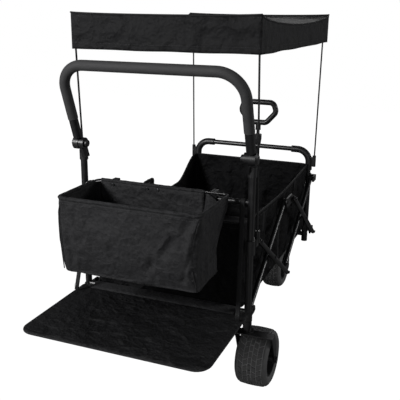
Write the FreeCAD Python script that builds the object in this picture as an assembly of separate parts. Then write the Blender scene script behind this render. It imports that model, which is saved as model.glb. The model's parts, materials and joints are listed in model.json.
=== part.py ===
"""Folding push-pull wagon with a canopy, a rear basket and a fold-down rear deck.

Millimetres, +Z up, wheels standing on z = 0. +Y points to the pull-handle end, +X to the right
as seen from the push-bar end. The design is drawn with y = 0 on the rear posts and moved by
Y_SHIFT when it is written, so that the whole box is centred on the origin.
"""
import FreeCAD
import Part
import math
import os

V = FreeCAD.Vector
X_AXIS = V(1, 0, 0)
Y_AXIS = V(0, 1, 0)
Z_AXIS = V(0, 0, 1)
SIDES = (("left", -1), ("right", 1))

# ---- driving dimensions ----------------------------------------------------------------------
POST_X = 286.0            # rear posts, distance from the middle
POST_R = 11.0
POST_WALL = 1.5
POST_BOTTOM = 193.0
POST_TOP = 715.0

PIVOT_REAR_Y = 56.0       # side scissor: rear pivots
PIVOT_LOW_Z = 240.6       # fixed lower pivots, rear and front
PIVOT_HIGH_Z = 473.4      # upper pivots, rear and front
CENTRE_HIGH_Z = 492.0     # upper centre pivots
LINK_SPAN_Y = 385.0       # run of one link along the wagon when open
CENTRE_GAP = 60.0         # between the two pivots of a centre bracket
LINK_R = 8.0
LINK_WALL = 1.2
LINK_OVERHANG = 11.0
LINK_IN_X = 276.0         # inner link plane
LINK_OUT_X = 300.0        # outer link plane
PLATE_X0 = 285.5          # every bracket plate runs between the two link planes
PLATE_X1 = 290.5
PIN_R = 3.0
PIN_CLEAR = 0.08
PIN_HEAD_R = 5.5
PIN_HEAD_T = 2.4

HOOP_X = 256.5            # front hoop legs
HOOP_Y = 925.0
HOOP_R = 10.0
HOOP_WALL = 1.4
HOOP_TOP_Z = 590.0
HOOP_LEG_BOTTOM = 215.0
HOOP_BEND = 52.0
OUTER_POST_R = 13.0       # front lower posts, in which the hoop legs slide
OUTER_POST_BORE = 10.4
OUTER_POST_TOP = 430.0
OUTER_POST_BOTTOM = 180.0
FRONT_BAR_Z = 211.0

HUB_Y = -20.0             # tilt hubs of the push bar
HUB_Z = 748.0
HUB_R = 20.0
BUTTON_R = 11.5
BAR_X = 288.0
BAR_R = 11.0
BAR_LEAN = 20.0           # degrees towards the rear
BAR_LENGTH = 268.0        # hub axis to the top bar, along the legs
BAR_BEND = 80.0
GRIP_R = 16.0
SOCKET_R = 14.5
SOCKET_START = 23.0
SOCKET_END = 86.0

WHEEL_R = 93.5            # rear wheels
WHEEL_W = 104.0
WHEEL_X = 315.0
WHEEL_Y = 28.0
RIM_R = 57.0
AXLE_R = 6.0
CASTER_R = 93.0           # front wheels
CASTER_W = 84.0
CASTER_X = 164.0
CASTER_Y = 846.0
CASTER_TRAIL = 45.0
KINGPIN_R = 6.0

TUB_X = 262.0             # fabric tub
TUB_Y0 = 16.0
TUB_Y1 = 902.0
TUB_Z0 = 250.0
TUB_Z1 = 536.0
TUB_T = 2.5

BASKET_X = 223.0          # rim rods of the rear basket
BASKET_Y0 = -252.0
BASKET_Y1 = -20.0
BASKET_Z = 634.0
BASKET_FLOOR = 398.0
ROD_R = 3.5
UPPER_BAR_Z = 611.0
UPPER_BAR_R = 8.0

DECK_X = 296.0            # rear deck panel
DECK_BACK = 384.0
DECK_FRONT = 18.0
DECK_TOP = 262.0
DECK_T = 14.0
LOWER_BAR_Z = 255.0
LOWER_BAR_R = 9.0

CANOPY_X = 304.0          # canopy cloth and its poles
CANOPY_Y0 = -18.0
CANOPY_Y1 = 927.0
CANOPY_Z0 = 1037.5
CANOPY_TIP_Z = 1150.0
CANOPY_T = 2.0
CANOPY_SAG_ACROSS = 12.0  # dip of the rear and front edges between the poles
CANOPY_SAG_ALONG = 34.0   # dip of the side edges
POLE_R = 3.0
POLE_TOP_Z = 1141.0
POLE_FOOT_REAR = V(299.0, 30.0, 486.0)
POLE_TOP_REAR = V(295.0, -12.0, POLE_TOP_Z)
POLE_FOOT_FRONT = V(279.0, 925.0, 536.0)
POLE_TOP_FRONT = V(285.0, 919.0, POLE_TOP_Z)

HANDLE_X = 15.0           # pull handle
HANDLE_Y = 955.0
HANDLE_PIVOT_Z = 215.0
HANDLE_OUTER_R = 10.0
HANDLE_INNER_R = 7.0
HANDLE_OUTER_TOP = 622.0
COLLAR_R = 17.0
COLLAR_TOP = 636.0
LOOP_Z0 = 677.0           # D-shaped grip
LOOP_Z1 = 790.0
LOOP_W = 177.0
LOOP_BAR_R = 12.0

Y_SHIFT = -(HANDLE_Y + COLLAR_R - DECK_BACK) / 2.0

# ---- values worked out from the dimensions ---------------------------------------------------
LINK_RISE = CENTRE_HIGH_Z - PIVOT_LOW_Z
CENTRE_LOW_Z = PIVOT_HIGH_Z - LINK_RISE
CENTRE_REAR_Y = PIVOT_REAR_Y + LINK_SPAN_Y
CENTRE_FRONT_Y = CENTRE_REAR_Y + CENTRE_GAP
PIVOT_FRONT_Y = CENTRE_FRONT_Y + LINK_SPAN_Y
CROSS_RUN = LINK_SPAN_Y * (PIVOT_HIGH_Z - PIVOT_LOW_Z) / (2.0 * LINK_RISE)
CROSS_Z = (PIVOT_HIGH_Z + PIVOT_LOW_Z) / 2.0
HOLE_R = PIN_R + PIN_CLEAR


# ---- helpers ---------------------------------------------------------------------------------
def cylinder(base, axis, radius, length):
    return Part.makeCylinder(radius, length, base, axis)


def rod(start, end, radius):
    along = end - start
    return cylinder(start, along, radius, along.Length)


def box(low, high):
    size = high - low
    return Part.makeBox(size.x, size.y, size.z, low)


def plate(points, x0, x1):
    """A flat plate: an outline in the Y-Z plane, thick from x0 to x1."""
    outline = [V(x0, y, z) for y, z in points]
    face = Part.Face(Part.makePolygon(outline + outline[:1]))
    return face.extrude(V(x1 - x0, 0, 0))


def slot_plate(y0, z0, y1, z1, radius, x0, x1):
    """A plate with round ends that joins two points of the Y-Z plane."""
    along = V(0, y1 - y0, z1 - z0)
    across = X_AXIS.cross(along)
    across.normalize()
    across = across * radius
    corners = [
        (y0 + across.y, z0 + across.z),
        (y1 + across.y, z1 + across.z),
        (y1 - across.y, z1 - across.z),
        (y0 - across.y, z0 - across.z),
    ]
    ends = [cylinder(V(x0, y, z), X_AXIS, radius, x1 - x0) for y, z in ((y0, z0), (y1, z1))]
    return plate(corners, x0, x1).multiFuse(ends).removeSplitter()


def rounded_path(points, radius):
    """Straight runs joined by tangent arcs of one radius."""
    edges = []
    last = points[0]
    for before, corner, after in zip(points, points[1:], points[2:]):
        into = (corner - before).normalize()
        out = (after - corner).normalize()
        turn = into.getAngle(out)
        cut = radius * math.tan(turn / 2.0)
        arc_start = corner - into * cut
        arc_end = corner + out * cut
        towards = (out - into).normalize()
        middle = corner + towards * (radius / math.cos(turn / 2.0) - radius)
        edges.append(Part.LineSegment(last, arc_start).toShape())
        edges.append(Part.Arc(arc_start, middle, arc_end).toShape())
        last = arc_end
    edges.append(Part.LineSegment(last, points[-1]).toShape())
    return Part.Wire(edges)


def sweep(path, radius):
    start = path.Edges[0].Vertexes[0].Point
    along = path.Edges[0].tangentAt(path.Edges[0].FirstParameter)
    ring = Part.Wire(Part.makeCircle(radius, start, along))
    return path.makePipeShell([ring], True, False)


def mirrored(shape):
    return shape.mirror(V(0, 0, 0), X_AXIS)


def on_side(shape, side):
    """The right-hand shape as it is, or its mirror image for the left."""
    return shape if side > 0 else mirrored(shape)


def pair(shape):
    return Part.makeCompound([mirrored(shape), shape])


def cut_all(shape, tools):
    for tool in tools:
        shape = shape.cut(tool)
    return shape


def save(node, shape):
    moved = shape.copy()
    moved.translate(V(0, Y_SHIFT, 0))
    for solid in moved.Solids:
        if not solid.isValid():
            raise RuntimeError(node + " has a solid that is not valid")
    moved.exportStep("parts/" + node + ".step")


# ---- rear frame ------------------------------------------------------------------------------
def rear_posts():
    outer = cylinder(V(POST_X, 0, POST_BOTTOM), Z_AXIS, POST_R, POST_TOP - POST_BOTTOM)
    bore = cylinder(V(POST_X, 0, POST_BOTTOM), Z_AXIS, POST_R - POST_WALL, POST_TOP - POST_BOTTOM)
    return pair(outer.cut(bore))


def rear_crossbar(height, radius):
    bar = rod(V(-POST_X, 0, height), V(POST_X, 0, height), radius)
    posts = [cylinder(V(s * POST_X, 0, POST_BOTTOM), Z_AXIS, POST_R, POST_TOP) for _, s in SIDES]
    return max(cut_all(bar, posts).Solids, key=lambda solid: solid.Volume)


def rear_pivot_brackets():
    ring_r = POST_R + 4.0
    half = 14.0
    ring = cylinder(V(POST_X, 0, PIVOT_LOW_Z - half), Z_AXIS, ring_r, 2 * half)
    arm = slot_plate(0, PIVOT_LOW_Z, PIVOT_REAR_Y, PIVOT_LOW_Z, half - 1.0, PLATE_X0, PLATE_X1)
    post = cylinder(V(POST_X, 0, 0), Z_AXIS, POST_R, POST_TOP)
    hole = cylinder(V(PLATE_X0 - 1, PIVOT_REAR_Y, PIVOT_LOW_Z), X_AXIS, HOLE_R, 8)
    bar = rod(V(0, 0, LOWER_BAR_Z), V(POST_X, 0, LOWER_BAR_Z), LOWER_BAR_R)
    return pair(cut_all(ring.fuse(arm), [post, hole, bar]).removeSplitter())


def tilt_hub_bases():
    sleeve_r = POST_R + 2.8
    x0, x1 = 266.0, 282.0
    sleeve = cylinder(V(POST_X, 0, 690), Z_AXIS, sleeve_r, 32)
    neck = plate([(-sleeve_r, 700), (sleeve_r, 700), (HUB_Y + 17, HUB_Z - 4), (HUB_Y - 17, HUB_Z - 4)],
                 x0 + 6, x1)
    disc = cylinder(V(x0, HUB_Y, HUB_Z), X_AXIS, HUB_R - 2.0, x1 - x0)
    post = cylinder(V(POST_X, 0, 0), Z_AXIS, POST_R, POST_TOP)
    button_bore = cylinder(V(x0 - 1, HUB_Y, HUB_Z), X_AXIS, BUTTON_R + 0.3, 15)
    return pair(sleeve.multiFuse([neck, disc]).cut(post).cut(button_bore).removeSplitter())


def tilt_button():
    start = 256.0
    body = cylinder(V(start, HUB_Y, HUB_Z), X_AXIS, BUTTON_R, 17)
    return body.makeFillet(3.0, [body.Edges[edge_at(body, start)]])


def edge_at(shape, x):
    """Index of the round edge that lies wholly in the plane x."""
    for index, edge in enumerate(shape.Edges):
        if abs(edge.BoundBox.XMin - x) < 0.01 and abs(edge.BoundBox.XMax - x) < 0.01:
            return index
    raise RuntimeError("no edge in that plane")


def rear_wheel_brackets():
    plate_z = 188.0
    thick = 4.0
    inner_x = WHEEL_X - WHEEL_W / 2.0 - 9.0
    outer_x = WHEEL_X + WHEEL_W / 2.0 + 9.0
    top = box(V(inner_x, -28, plate_z), V(outer_x, 8, plate_z + thick))
    flange = cylinder(V(POST_X, 0, plate_z + thick), Z_AXIS, 21, POST_BOTTOM - plate_z - thick)
    socket = cylinder(V(POST_X, 0, POST_BOTTOM), Z_AXIS, POST_R + 3.0, 32)
    post = cylinder(V(POST_X, 0, POST_BOTTOM), Z_AXIS, POST_R, 60)
    arms = []
    for x0 in (inner_x, outer_x - thick):
        outline = [(-28, plate_z + thick), (8, plate_z + thick), (WHEEL_Y + 13, WHEEL_R - 2),
                   (WHEEL_Y + 5, WHEEL_R - 12), (WHEEL_Y - 6, WHEEL_R - 11)]
        arm = plate(outline, x0, x0 + thick)
        eye = cylinder(V(x0, WHEEL_Y, WHEEL_R), X_AXIS, 14, thick)
        arms.append(arm.fuse(eye))
    whole = top.multiFuse([flange, socket] + arms).cut(post)
    hole = cylinder(V(inner_x - 1, WHEEL_Y, WHEEL_R), X_AXIS, AXLE_R, outer_x - inner_x + 2)
    return pair(whole.cut(hole).removeSplitter())


def rear_axle_bolts():
    inner_x = WHEEL_X - WHEEL_W / 2.0 - 9.0
    outer_x = WHEEL_X + WHEEL_W / 2.0 + 9.0
    shank = cylinder(V(inner_x, WHEEL_Y, WHEEL_R), X_AXIS, AXLE_R, outer_x - inner_x)
    heads = [cylinder(V(x, WHEEL_Y, WHEEL_R), X_AXIS, 10.0, 5.0) for x in (inner_x - 5, outer_x)]
    return pair(shank.multiFuse(heads))


# ---- wheels ----------------------------------------------------------------------------------
def turned(points, centre):
    """A solid of revolution about an X axis through centre; points are (x from centre, radius)."""
    outline = [V(centre.x + x, centre.y, centre.z + r) for x, r in points]
    face = Part.Face(Part.makePolygon(outline + outline[:1]))
    return face.revolve(centre, X_AXIS, 360)


def tyre(centre, radius, width):
    half = width / 2.0
    profile = [(-half + 4, RIM_R), (-half + 1, RIM_R + 9), (-half, radius - 22), (-half + 3, radius - 9),
               (-half + 12, radius - 2), (-half + 22, radius), (half - 22, radius), (half - 12, radius - 2),
               (half - 3, radius - 9), (half, radius - 22), (half - 1, RIM_R + 9), (half - 4, RIM_R)]
    return turned(profile, centre)


def rim(centre, width, bore, hub_half):
    half = width / 2.0 - 5.0
    web = 6.0
    profile = [(-half, RIM_R), (-half, RIM_R - 5), (-web, RIM_R - 9), (-web, 17), (-hub_half, 15),
               (-hub_half, bore), (hub_half, bore), (hub_half, 15), (web, 17), (web, RIM_R - 9),
               (half, RIM_R - 5), (half, RIM_R)]
    disc = turned(profile, centre)
    windows = []
    for step in range(5):
        angle = math.radians(90 + 72 * step)
        spot = centre + V(0, 32 * math.cos(angle), 32 * math.sin(angle))
        windows.append(cylinder(spot - X_AXIS * (web + 1), X_AXIS, 9.0, 2 * web + 2))
    return cut_all(disc, windows)


# ---- push bar --------------------------------------------------------------------------------
LEAN = V(0, -math.sin(math.radians(BAR_LEAN)), math.cos(math.radians(BAR_LEAN)))


def along_bar(x, distance):
    return V(x, HUB_Y, HUB_Z) + LEAN * distance


def bar_path(start):
    corners = [along_bar(-BAR_X, start), along_bar(-BAR_X, BAR_LENGTH),
               along_bar(BAR_X, BAR_LENGTH), along_bar(BAR_X, start)]
    return rounded_path(corners, BAR_BEND)


def push_bar_tube():
    start = SOCKET_START + 5.0
    return sweep(bar_path(start), BAR_R).cut(sweep(bar_path(start), BAR_R - POST_WALL))


def push_bar_grip():
    start = SOCKET_END + 2.0
    return sweep(bar_path(start), GRIP_R).cut(sweep(bar_path(start), BAR_R))


def push_bar_hubs():
    x0, x1 = 283.0, 303.0
    drum = cylinder(V(x0, HUB_Y, HUB_Z), X_AXIS, HUB_R, x1 - x0)
    dome = Part.makeCone(HUB_R, HUB_R - 8.0, 6.0, V(x1, HUB_Y, HUB_Z), X_AXIS)
    socket = rod(along_bar(BAR_X, SOCKET_START), along_bar(BAR_X, SOCKET_END), SOCKET_R)
    arm = rod(along_bar(290.0, 10.0), along_bar(290.0, 40.0), 6.5)
    tube = rod(along_bar(BAR_X, SOCKET_START + 5.0), along_bar(BAR_X, SOCKET_END + 1), BAR_R)
    return pair(drum.multiFuse([dome, socket, arm]).cut(tube).removeSplitter())


# ---- side scissor ----------------------------------------------------------------------------
def link(x, start, end, crossing):
    """A closed tube with rounded ends, drilled at both ends and where it crosses its partner."""
    y0, z0 = start
    y1, z1 = end
    along = V(0, y1 - y0, z1 - z0).normalize()
    first = V(x, y0, z0) - along * LINK_OVERHANG
    last = V(x, y1, z1) + along * LINK_OVERHANG
    body = rod(first, last, LINK_R)
    body = body.makeFillet(3.5, [edge for edge in body.Edges if edge.Closed])
    body = body.cut(rod(first + along * 5, last - along * 5, LINK_R - LINK_WALL))
    holes = [cylinder(V(x - 20, y, z), X_AXIS, HOLE_R, 40) for y, z in (start, end, crossing)]
    return cut_all(body, holes)


def pin(y, z, x0, x1, spacer=None):
    """A headed pin whose shank fills x0 to x1; spacer is the stretch that keeps two links apart."""
    shank = cylinder(V(x0 - 1, y, z), X_AXIS, PIN_R, x1 - x0 + 2)
    heads = [cylinder(V(x0 - PIN_HEAD_T, y, z), X_AXIS, PIN_HEAD_R, PIN_HEAD_T),
             cylinder(V(x1, y, z), X_AXIS, PIN_HEAD_R, PIN_HEAD_T)]
    if spacer:
        heads.append(cylinder(V(spacer[0], y, z), X_AXIS, PIN_R + 3.5, spacer[1] - spacer[0]))
    return shank.multiFuse(heads).removeSplitter()


LINK_GAP = 0.3
REAR_CROSS = (PIVOT_REAR_Y + CROSS_RUN, CROSS_Z)
FRONT_CROSS = (PIVOT_FRONT_Y - CROSS_RUN, CROSS_Z)
IN_FACE = LINK_IN_X - LINK_R - LINK_GAP
OUT_FACE = LINK_OUT_X + LINK_R + LINK_GAP
SPACER = (LINK_IN_X + LINK_R + LINK_GAP, LINK_OUT_X - LINK_R - LINK_GAP)


def rear_link_pins():
    ends = [pin(y, z, IN_FACE, PLATE_X1 + LINK_GAP)
            for y, z in ((PIVOT_REAR_Y, PIVOT_LOW_Z), (CENTRE_REAR_Y, CENTRE_HIGH_Z))]
    return Part.makeCompound(ends + [pin(*REAR_CROSS, IN_FACE, OUT_FACE, SPACER)])


def front_link_pins():
    ends = [pin(y, z, PLATE_X0 - LINK_GAP, OUT_FACE)
            for y, z in ((CENTRE_FRONT_Y, CENTRE_HIGH_Z), (PIVOT_FRONT_Y, PIVOT_LOW_Z))]
    return Part.makeCompound(ends + [pin(*FRONT_CROSS, IN_FACE, OUT_FACE, SPACER)])


def stud_out(y, z):
    shank = cylinder(V(PLATE_X1 - 1, y, z), X_AXIS, PIN_R, OUT_FACE - PLATE_X1 + 1)
    return shank.fuse(cylinder(V(OUT_FACE, y, z), X_AXIS, PIN_HEAD_R, PIN_HEAD_T))


def stud_in(y, z):
    shank = cylinder(V(IN_FACE, y, z), X_AXIS, PIN_R, PLATE_X0 - IN_FACE + 1)
    return shank.fuse(cylinder(V(IN_FACE - PIN_HEAD_T, y, z), X_AXIS, PIN_HEAD_R, PIN_HEAD_T))


def rear_slider():
    """Open sleeve on the rear post with the upper rear pivot and the canopy pole socket."""
    low, high = PIVOT_HIGH_Z - 26.0, PIVOT_HIGH_Z + 20.0
    sleeve = cylinder(V(POST_X, 0, low), Z_AXIS, POST_R + 5.0, high - low)
    arm = slot_plate(6, PIVOT_HIGH_Z, PIVOT_REAR_Y, PIVOT_HIGH_Z, 13, PLATE_X0, PLATE_X1)
    socket = cylinder(V(POLE_FOOT_REAR.x, POLE_FOOT_REAR.y, POLE_FOOT_REAR.z - 8), Z_AXIS, 7.5, 38)
    bridge = box(V(PLATE_X0, 10, PIVOT_HIGH_Z - 4), V(POLE_FOOT_REAR.x + 4, POLE_FOOT_REAR.y, high))
    body = sleeve.multiFuse([arm, socket, bridge, stud_out(PIVOT_REAR_Y, PIVOT_HIGH_Z)])
    post = cylinder(V(POST_X, 0, 0), Z_AXIS, POST_R + 0.4, 900)
    slot = box(V(POST_X - 30, -10, low - 1), V(POST_X - 1, 10, high + 1))
    return cut_all(body, [post, slot, rear_pole_bore()]).removeSplitter()


def top_bracket():
    body = slot_plate(CENTRE_REAR_Y, CENTRE_HIGH_Z, CENTRE_FRONT_Y, CENTRE_HIGH_Z, 17, PLATE_X0, PLATE_X1)
    holes = [cylinder(V(PLATE_X0 - 1, y, CENTRE_HIGH_Z), X_AXIS, HOLE_R, 8)
             for y in (CENTRE_REAR_Y, CENTRE_FRONT_Y)]
    return cut_all(body, holes)


def bottom_bracket():
    body = slot_plate(CENTRE_REAR_Y, CENTRE_LOW_Z, CENTRE_FRONT_Y, CENTRE_LOW_Z, 13, PLATE_X0, PLATE_X1)
    return body.multiFuse([stud_out(CENTRE_REAR_Y, CENTRE_LOW_Z), stud_in(CENTRE_FRONT_Y, CENTRE_LOW_Z)])


# ---- front frame -----------------------------------------------------------------------------
def front_lower_frame():
    """Lower posts, crossbar and pivot plates, welded into one frame."""
    height = OUTER_POST_TOP - OUTER_POST_BOTTOM
    solids = [rod(V(-HOOP_X, HOOP_Y, FRONT_BAR_Z), V(HOOP_X, HOOP_Y, FRONT_BAR_Z), HOOP_R)]
    bores = []
    for _, side in SIDES:
        x = side * HOOP_X
        solids.append(cylinder(V(x, HOOP_Y, OUTER_POST_BOTTOM), Z_AXIS, OUTER_POST_R, height))
        bores.append(cylinder(V(x, HOOP_Y, OUTER_POST_BOTTOM + 26), Z_AXIS, OUTER_POST_BORE, height))
        arm = box(V(HOOP_X, HOOP_Y - 9, PIVOT_LOW_Z - 12), V(PLATE_X1, HOOP_Y + 9, PIVOT_LOW_Z + 12))
        ear = slot_plate(HOOP_Y - 4, PIVOT_LOW_Z, PIVOT_FRONT_Y, PIVOT_LOW_Z, 12, PLATE_X0, PLATE_X1)
        solids.append(on_side(arm.fuse(ear), side))
        bores.append(on_side(cylinder(V(PLATE_X0 - 1, PIVOT_FRONT_Y, PIVOT_LOW_Z), X_AXIS, HOLE_R, 8), side))
    frame = solids[0].multiFuse(solids[1:])
    return cut_all(frame, bores).removeSplitter()


def caster_sockets():
    cup = cylinder(V(CASTER_X, CASTER_Y, 197.5), Z_AXIS, 17, 28)
    arm = box(V(CASTER_X - 13, CASTER_Y, 201), V(CASTER_X + 13, HOOP_Y + 6, 221))
    bar = rod(V(0, HOOP_Y, FRONT_BAR_Z), V(HOOP_X, HOOP_Y, FRONT_BAR_Z), HOOP_R)
    bore = cylinder(V(CASTER_X, CASTER_Y, 190), Z_AXIS, KINGPIN_R + PIN_CLEAR, 50)
    return pair(cut_all(cup.fuse(arm), [bar, bore]).removeSplitter())


def handle_hinge_bracket():
    """Two ears on the front crossbar that carry the pull handle's pivot."""
    ears = []
    for x0 in (HANDLE_X - 17, HANDLE_X + 12):
        ears.append(slot_plate(HOOP_Y, FRONT_BAR_Z, HANDLE_Y, HANDLE_PIVOT_Z, 13, x0, x0 + 5))
    saddle = box(V(HANDLE_X - 17, HOOP_Y - 13, FRONT_BAR_Z - 12), V(HANDLE_X + 17, HOOP_Y, FRONT_BAR_Z + 12))
    bar = rod(V(-80, HOOP_Y, FRONT_BAR_Z), V(120, HOOP_Y, FRONT_BAR_Z), HOOP_R)
    hole = cylinder(V(HANDLE_X - 30, HANDLE_Y, HANDLE_PIVOT_Z), X_AXIS, 4.0 + PIN_CLEAR, 60)
    return cut_all(saddle.multiFuse(ears), [bar, hole]).removeSplitter()


def hoop_path():
    corners = [V(-HOOP_X, HOOP_Y, HOOP_LEG_BOTTOM), V(-HOOP_X, HOOP_Y, HOOP_TOP_Z),
               V(HOOP_X, HOOP_Y, HOOP_TOP_Z), V(HOOP_X, HOOP_Y, HOOP_LEG_BOTTOM)]
    return rounded_path(corners, HOOP_BEND)


def front_hoop():
    return sweep(hoop_path(), HOOP_R).cut(sweep(hoop_path(), HOOP_R - HOOP_WALL))


def rear_pole_bore():
    along = (POLE_TOP_REAR - POLE_FOOT_REAR).normalize()
    return cylinder(POLE_FOOT_REAR, along, POLE_R, 100)


def hoop_corners():
    """Moulded elbow over the hoop's bend with the front canopy pole socket."""
    below, beside = 34.0, 26.0
    corners = [V(HOOP_X, HOOP_Y, HOOP_TOP_Z - HOOP_BEND - below), V(HOOP_X, HOOP_Y, HOOP_TOP_Z),
               V(HOOP_X - HOOP_BEND - beside, HOOP_Y, HOOP_TOP_Z)]
    elbow = sweep(rounded_path(corners, HOOP_BEND), HOOP_R + 4.5)
    socket = cylinder(V(POLE_FOOT_FRONT.x, HOOP_Y, 520), Z_AXIS, 7.5, 48)
    bridge = box(V(HOOP_X + 8, HOOP_Y - 6, 524), V(POLE_FOOT_FRONT.x, HOOP_Y + 6, 560))
    along = (POLE_TOP_FRONT - POLE_FOOT_FRONT).normalize()
    bore = cylinder(POLE_FOOT_FRONT, along, POLE_R, 100)
    tube = sweep(hoop_path(), HOOP_R)
    return pair(cut_all(elbow.multiFuse([socket, bridge]), [tube, bore]).removeSplitter())


def hoop_link_brackets():
    """Clamps on the hoop legs that carry the upper front pivots."""
    half = 15.0
    ring = cylinder(V(HOOP_X, HOOP_Y, PIVOT_HIGH_Z - half), Z_AXIS, HOOP_R + 4.0, 2 * half)
    arm = box(V(HOOP_X, HOOP_Y - 8, PIVOT_HIGH_Z - 12), V(PLATE_X1, HOOP_Y + 8, PIVOT_HIGH_Z + 12))
    ear = slot_plate(HOOP_Y - 4, PIVOT_HIGH_Z, PIVOT_FRONT_Y, PIVOT_HIGH_Z, 12, PLATE_X0, PLATE_X1)
    leg = cylinder(V(HOOP_X, HOOP_Y, 0), Z_AXIS, HOOP_R, 900)
    body = ring.multiFuse([arm, ear, stud_in(PIVOT_FRONT_Y, PIVOT_HIGH_Z)])
    return pair(body.cut(leg).removeSplitter())


# ---- front casters ---------------------------------------------------------------------------
def caster_fork(x):
    axle_y = CASTER_Y - CASTER_TRAIL
    reach = CASTER_W / 2.0 + 4.0
    thick = 4.0
    top = box(V(x - reach - thick, CASTER_Y - 24, 189.5), V(x + reach + thick, CASTER_Y + 22, 194.5))
    parts = [cylinder(V(x, CASTER_Y, 190), Z_AXIS, KINGPIN_R, 34),
             cylinder(V(x, CASTER_Y, 194), Z_AXIS, 14, 2.5)]
    for x0 in (x - reach - thick, x + reach):
        outline = [(CASTER_Y - 24, 194.5), (CASTER_Y + 22, 194.5), (axle_y + 12, CASTER_R - 4),
                   (axle_y - 10, CASTER_R - 8), (axle_y - 13, CASTER_R + 6)]
        parts.append(plate(outline, x0, x0 + thick))
        parts.append(cylinder(V(x0, axle_y, CASTER_R), X_AXIS, 13, thick))
    parts.append(cylinder(V(x - reach - thick - 3, axle_y, CASTER_R), X_AXIS, 5.0, 2 * (reach + thick + 3)))
    return top.multiFuse(parts).removeSplitter()


# ---- pull handle -----------------------------------------------------------------------------
def handle_outer_tube():
    tube = cylinder(V(HANDLE_X, HANDLE_Y, HANDLE_PIVOT_Z), Z_AXIS, HANDLE_OUTER_R,
                    HANDLE_OUTER_TOP - HANDLE_PIVOT_Z)
    foot = cylinder(V(HANDLE_X - 9, HANDLE_Y, HANDLE_PIVOT_Z), X_AXIS, HANDLE_OUTER_R, 18)
    bore = cylinder(V(HANDLE_X, HANDLE_Y, HANDLE_PIVOT_Z + 20), Z_AXIS, HANDLE_INNER_R + 0.4, 500)
    axle = cylinder(V(HANDLE_X - 19, HANDLE_Y, HANDLE_PIVOT_Z), X_AXIS, 4.0, 38)
    return tube.fuse(foot).cut(bore).fuse(axle).removeSplitter()


def handle_collar():
    """Moulded collar on top of the outer tube."""
    low = COLLAR_TOP - 50.0
    waist = Part.makeCone(HANDLE_OUTER_R + 3, COLLAR_R, 30, V(HANDLE_X, HANDLE_Y, low), Z_AXIS)
    head = cylinder(V(HANDLE_X, HANDLE_Y, low + 30), Z_AXIS, COLLAR_R, 20)
    outer = cylinder(V(HANDLE_X, HANDLE_Y, 0), Z_AXIS, HANDLE_OUTER_R, HANDLE_OUTER_TOP)
    inner = cylinder(V(HANDLE_X, HANDLE_Y, 0), Z_AXIS, HANDLE_INNER_R + 0.4, 900)
    return cut_all(waist.fuse(head), [outer, inner]).removeSplitter()


def handle_inner_tube():
    tube = cylinder(V(HANDLE_X, HANDLE_Y, 330), Z_AXIS, HANDLE_INNER_R, LOOP_Z0 - 326)
    return tube.cut(cylinder(V(HANDLE_X, HANDLE_Y, 329), Z_AXIS, HANDLE_INNER_R - 1.2, LOOP_Z0 - 330))


def handle_grip():
    """Closed D loop, widest above its middle, with a socket for the inner tube."""
    half = LOOP_W / 2.0 - LOOP_BAR_R + 3.5
    low, high = LOOP_Z0 + LOOP_BAR_R, LOOP_Z1 - LOOP_BAR_R
    middle = V(HANDLE_X, HANDLE_Y, low)
    bends = [(36.0, low), (half, low + 49.0), (half - 14.0, high)]
    right = [V(HANDLE_X + x, HANDLE_Y, z) for x, z in bends]
    left = [V(HANDLE_X - x, HANDLE_Y, z) for x, z in reversed(bends)]
    path = rounded_path([middle] + right + left + [middle], 24.0)
    ring = Part.Wire(Part.makeCircle(LOOP_BAR_R, middle, X_AXIS))
    loop = path.makePipeShell([ring], True, False)
    socket = cylinder(V(HANDLE_X, HANDLE_Y, LOOP_Z0 - 22), Z_AXIS, 11.5, 34)
    tube = cylinder(V(HANDLE_X, HANDLE_Y, 300), Z_AXIS, HANDLE_INNER_R, LOOP_Z0 - 296)
    return loop.fuse(socket).cut(tube).removeSplitter()


# ---- rear basket and deck --------------------------------------------------------------------
def basket_frame():
    """Rectangular wire rim with two hooks that drop over the upper crossbar."""
    corner = 18.0
    y_mid = (BASKET_Y0 + BASKET_Y1) / 2.0
    loop = [V(BASKET_X, y_mid, BASKET_Z), V(BASKET_X, BASKET_Y1, BASKET_Z), V(-BASKET_X, BASKET_Y1, BASKET_Z),
            V(-BASKET_X, BASKET_Y0, BASKET_Z), V(BASKET_X, BASKET_Y0, BASKET_Z), V(BASKET_X, y_mid, BASKET_Z)]
    path = rounded_path(loop, corner)
    ring = Part.Wire(Part.makeCircle(ROD_R, loop[0], Y_AXIS))
    rim_rod = path.makePipeShell([ring], True, False)
    hooks = []
    for x in (-170.0, 170.0):
        low = UPPER_BAR_Z - 8.0
        body = box(V(x - 9, BASKET_Y1, low), V(x + 9, UPPER_BAR_R + 4, BASKET_Z + 3))
        gap = box(V(x - 10, -UPPER_BAR_R - 0.5, low - 1), V(x + 10, UPPER_BAR_R + 0.5, UPPER_BAR_Z))
        crown = cylinder(V(x - 10, 0, UPPER_BAR_Z), X_AXIS, UPPER_BAR_R + 0.5, 20)
        behind = box(V(x - 10, BASKET_Y1 - 1, low - 1), V(x + 10, -UPPER_BAR_R - 4, BASKET_Z - 6))
        hooks.append(cut_all(body, [gap, crown, behind]))
    return rim_rod.multiFuse(hooks).removeSplitter()


def open_box(low, high, thick, corner):
    """An open-topped fabric box with rounded upright corners."""
    outer = box(low, high)
    outer = outer.makeFillet(corner, [e for e in outer.Edges if e.BoundBox.ZLength > 1])
    inner = box(low + V(thick, thick, thick), high + V(-thick, -thick, 1))
    inner = inner.makeFillet(corner - thick, [e for e in inner.Edges if e.BoundBox.ZLength > 1])
    return outer.cut(inner)


def basket_fabric():
    return open_box(V(-BASKET_X + 3, BASKET_Y0 + 3, BASKET_FLOOR),
                    V(BASKET_X - 3, BASKET_Y1 + 6, BASKET_Z - ROD_R - 7), 2.0, 16.0)


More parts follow.
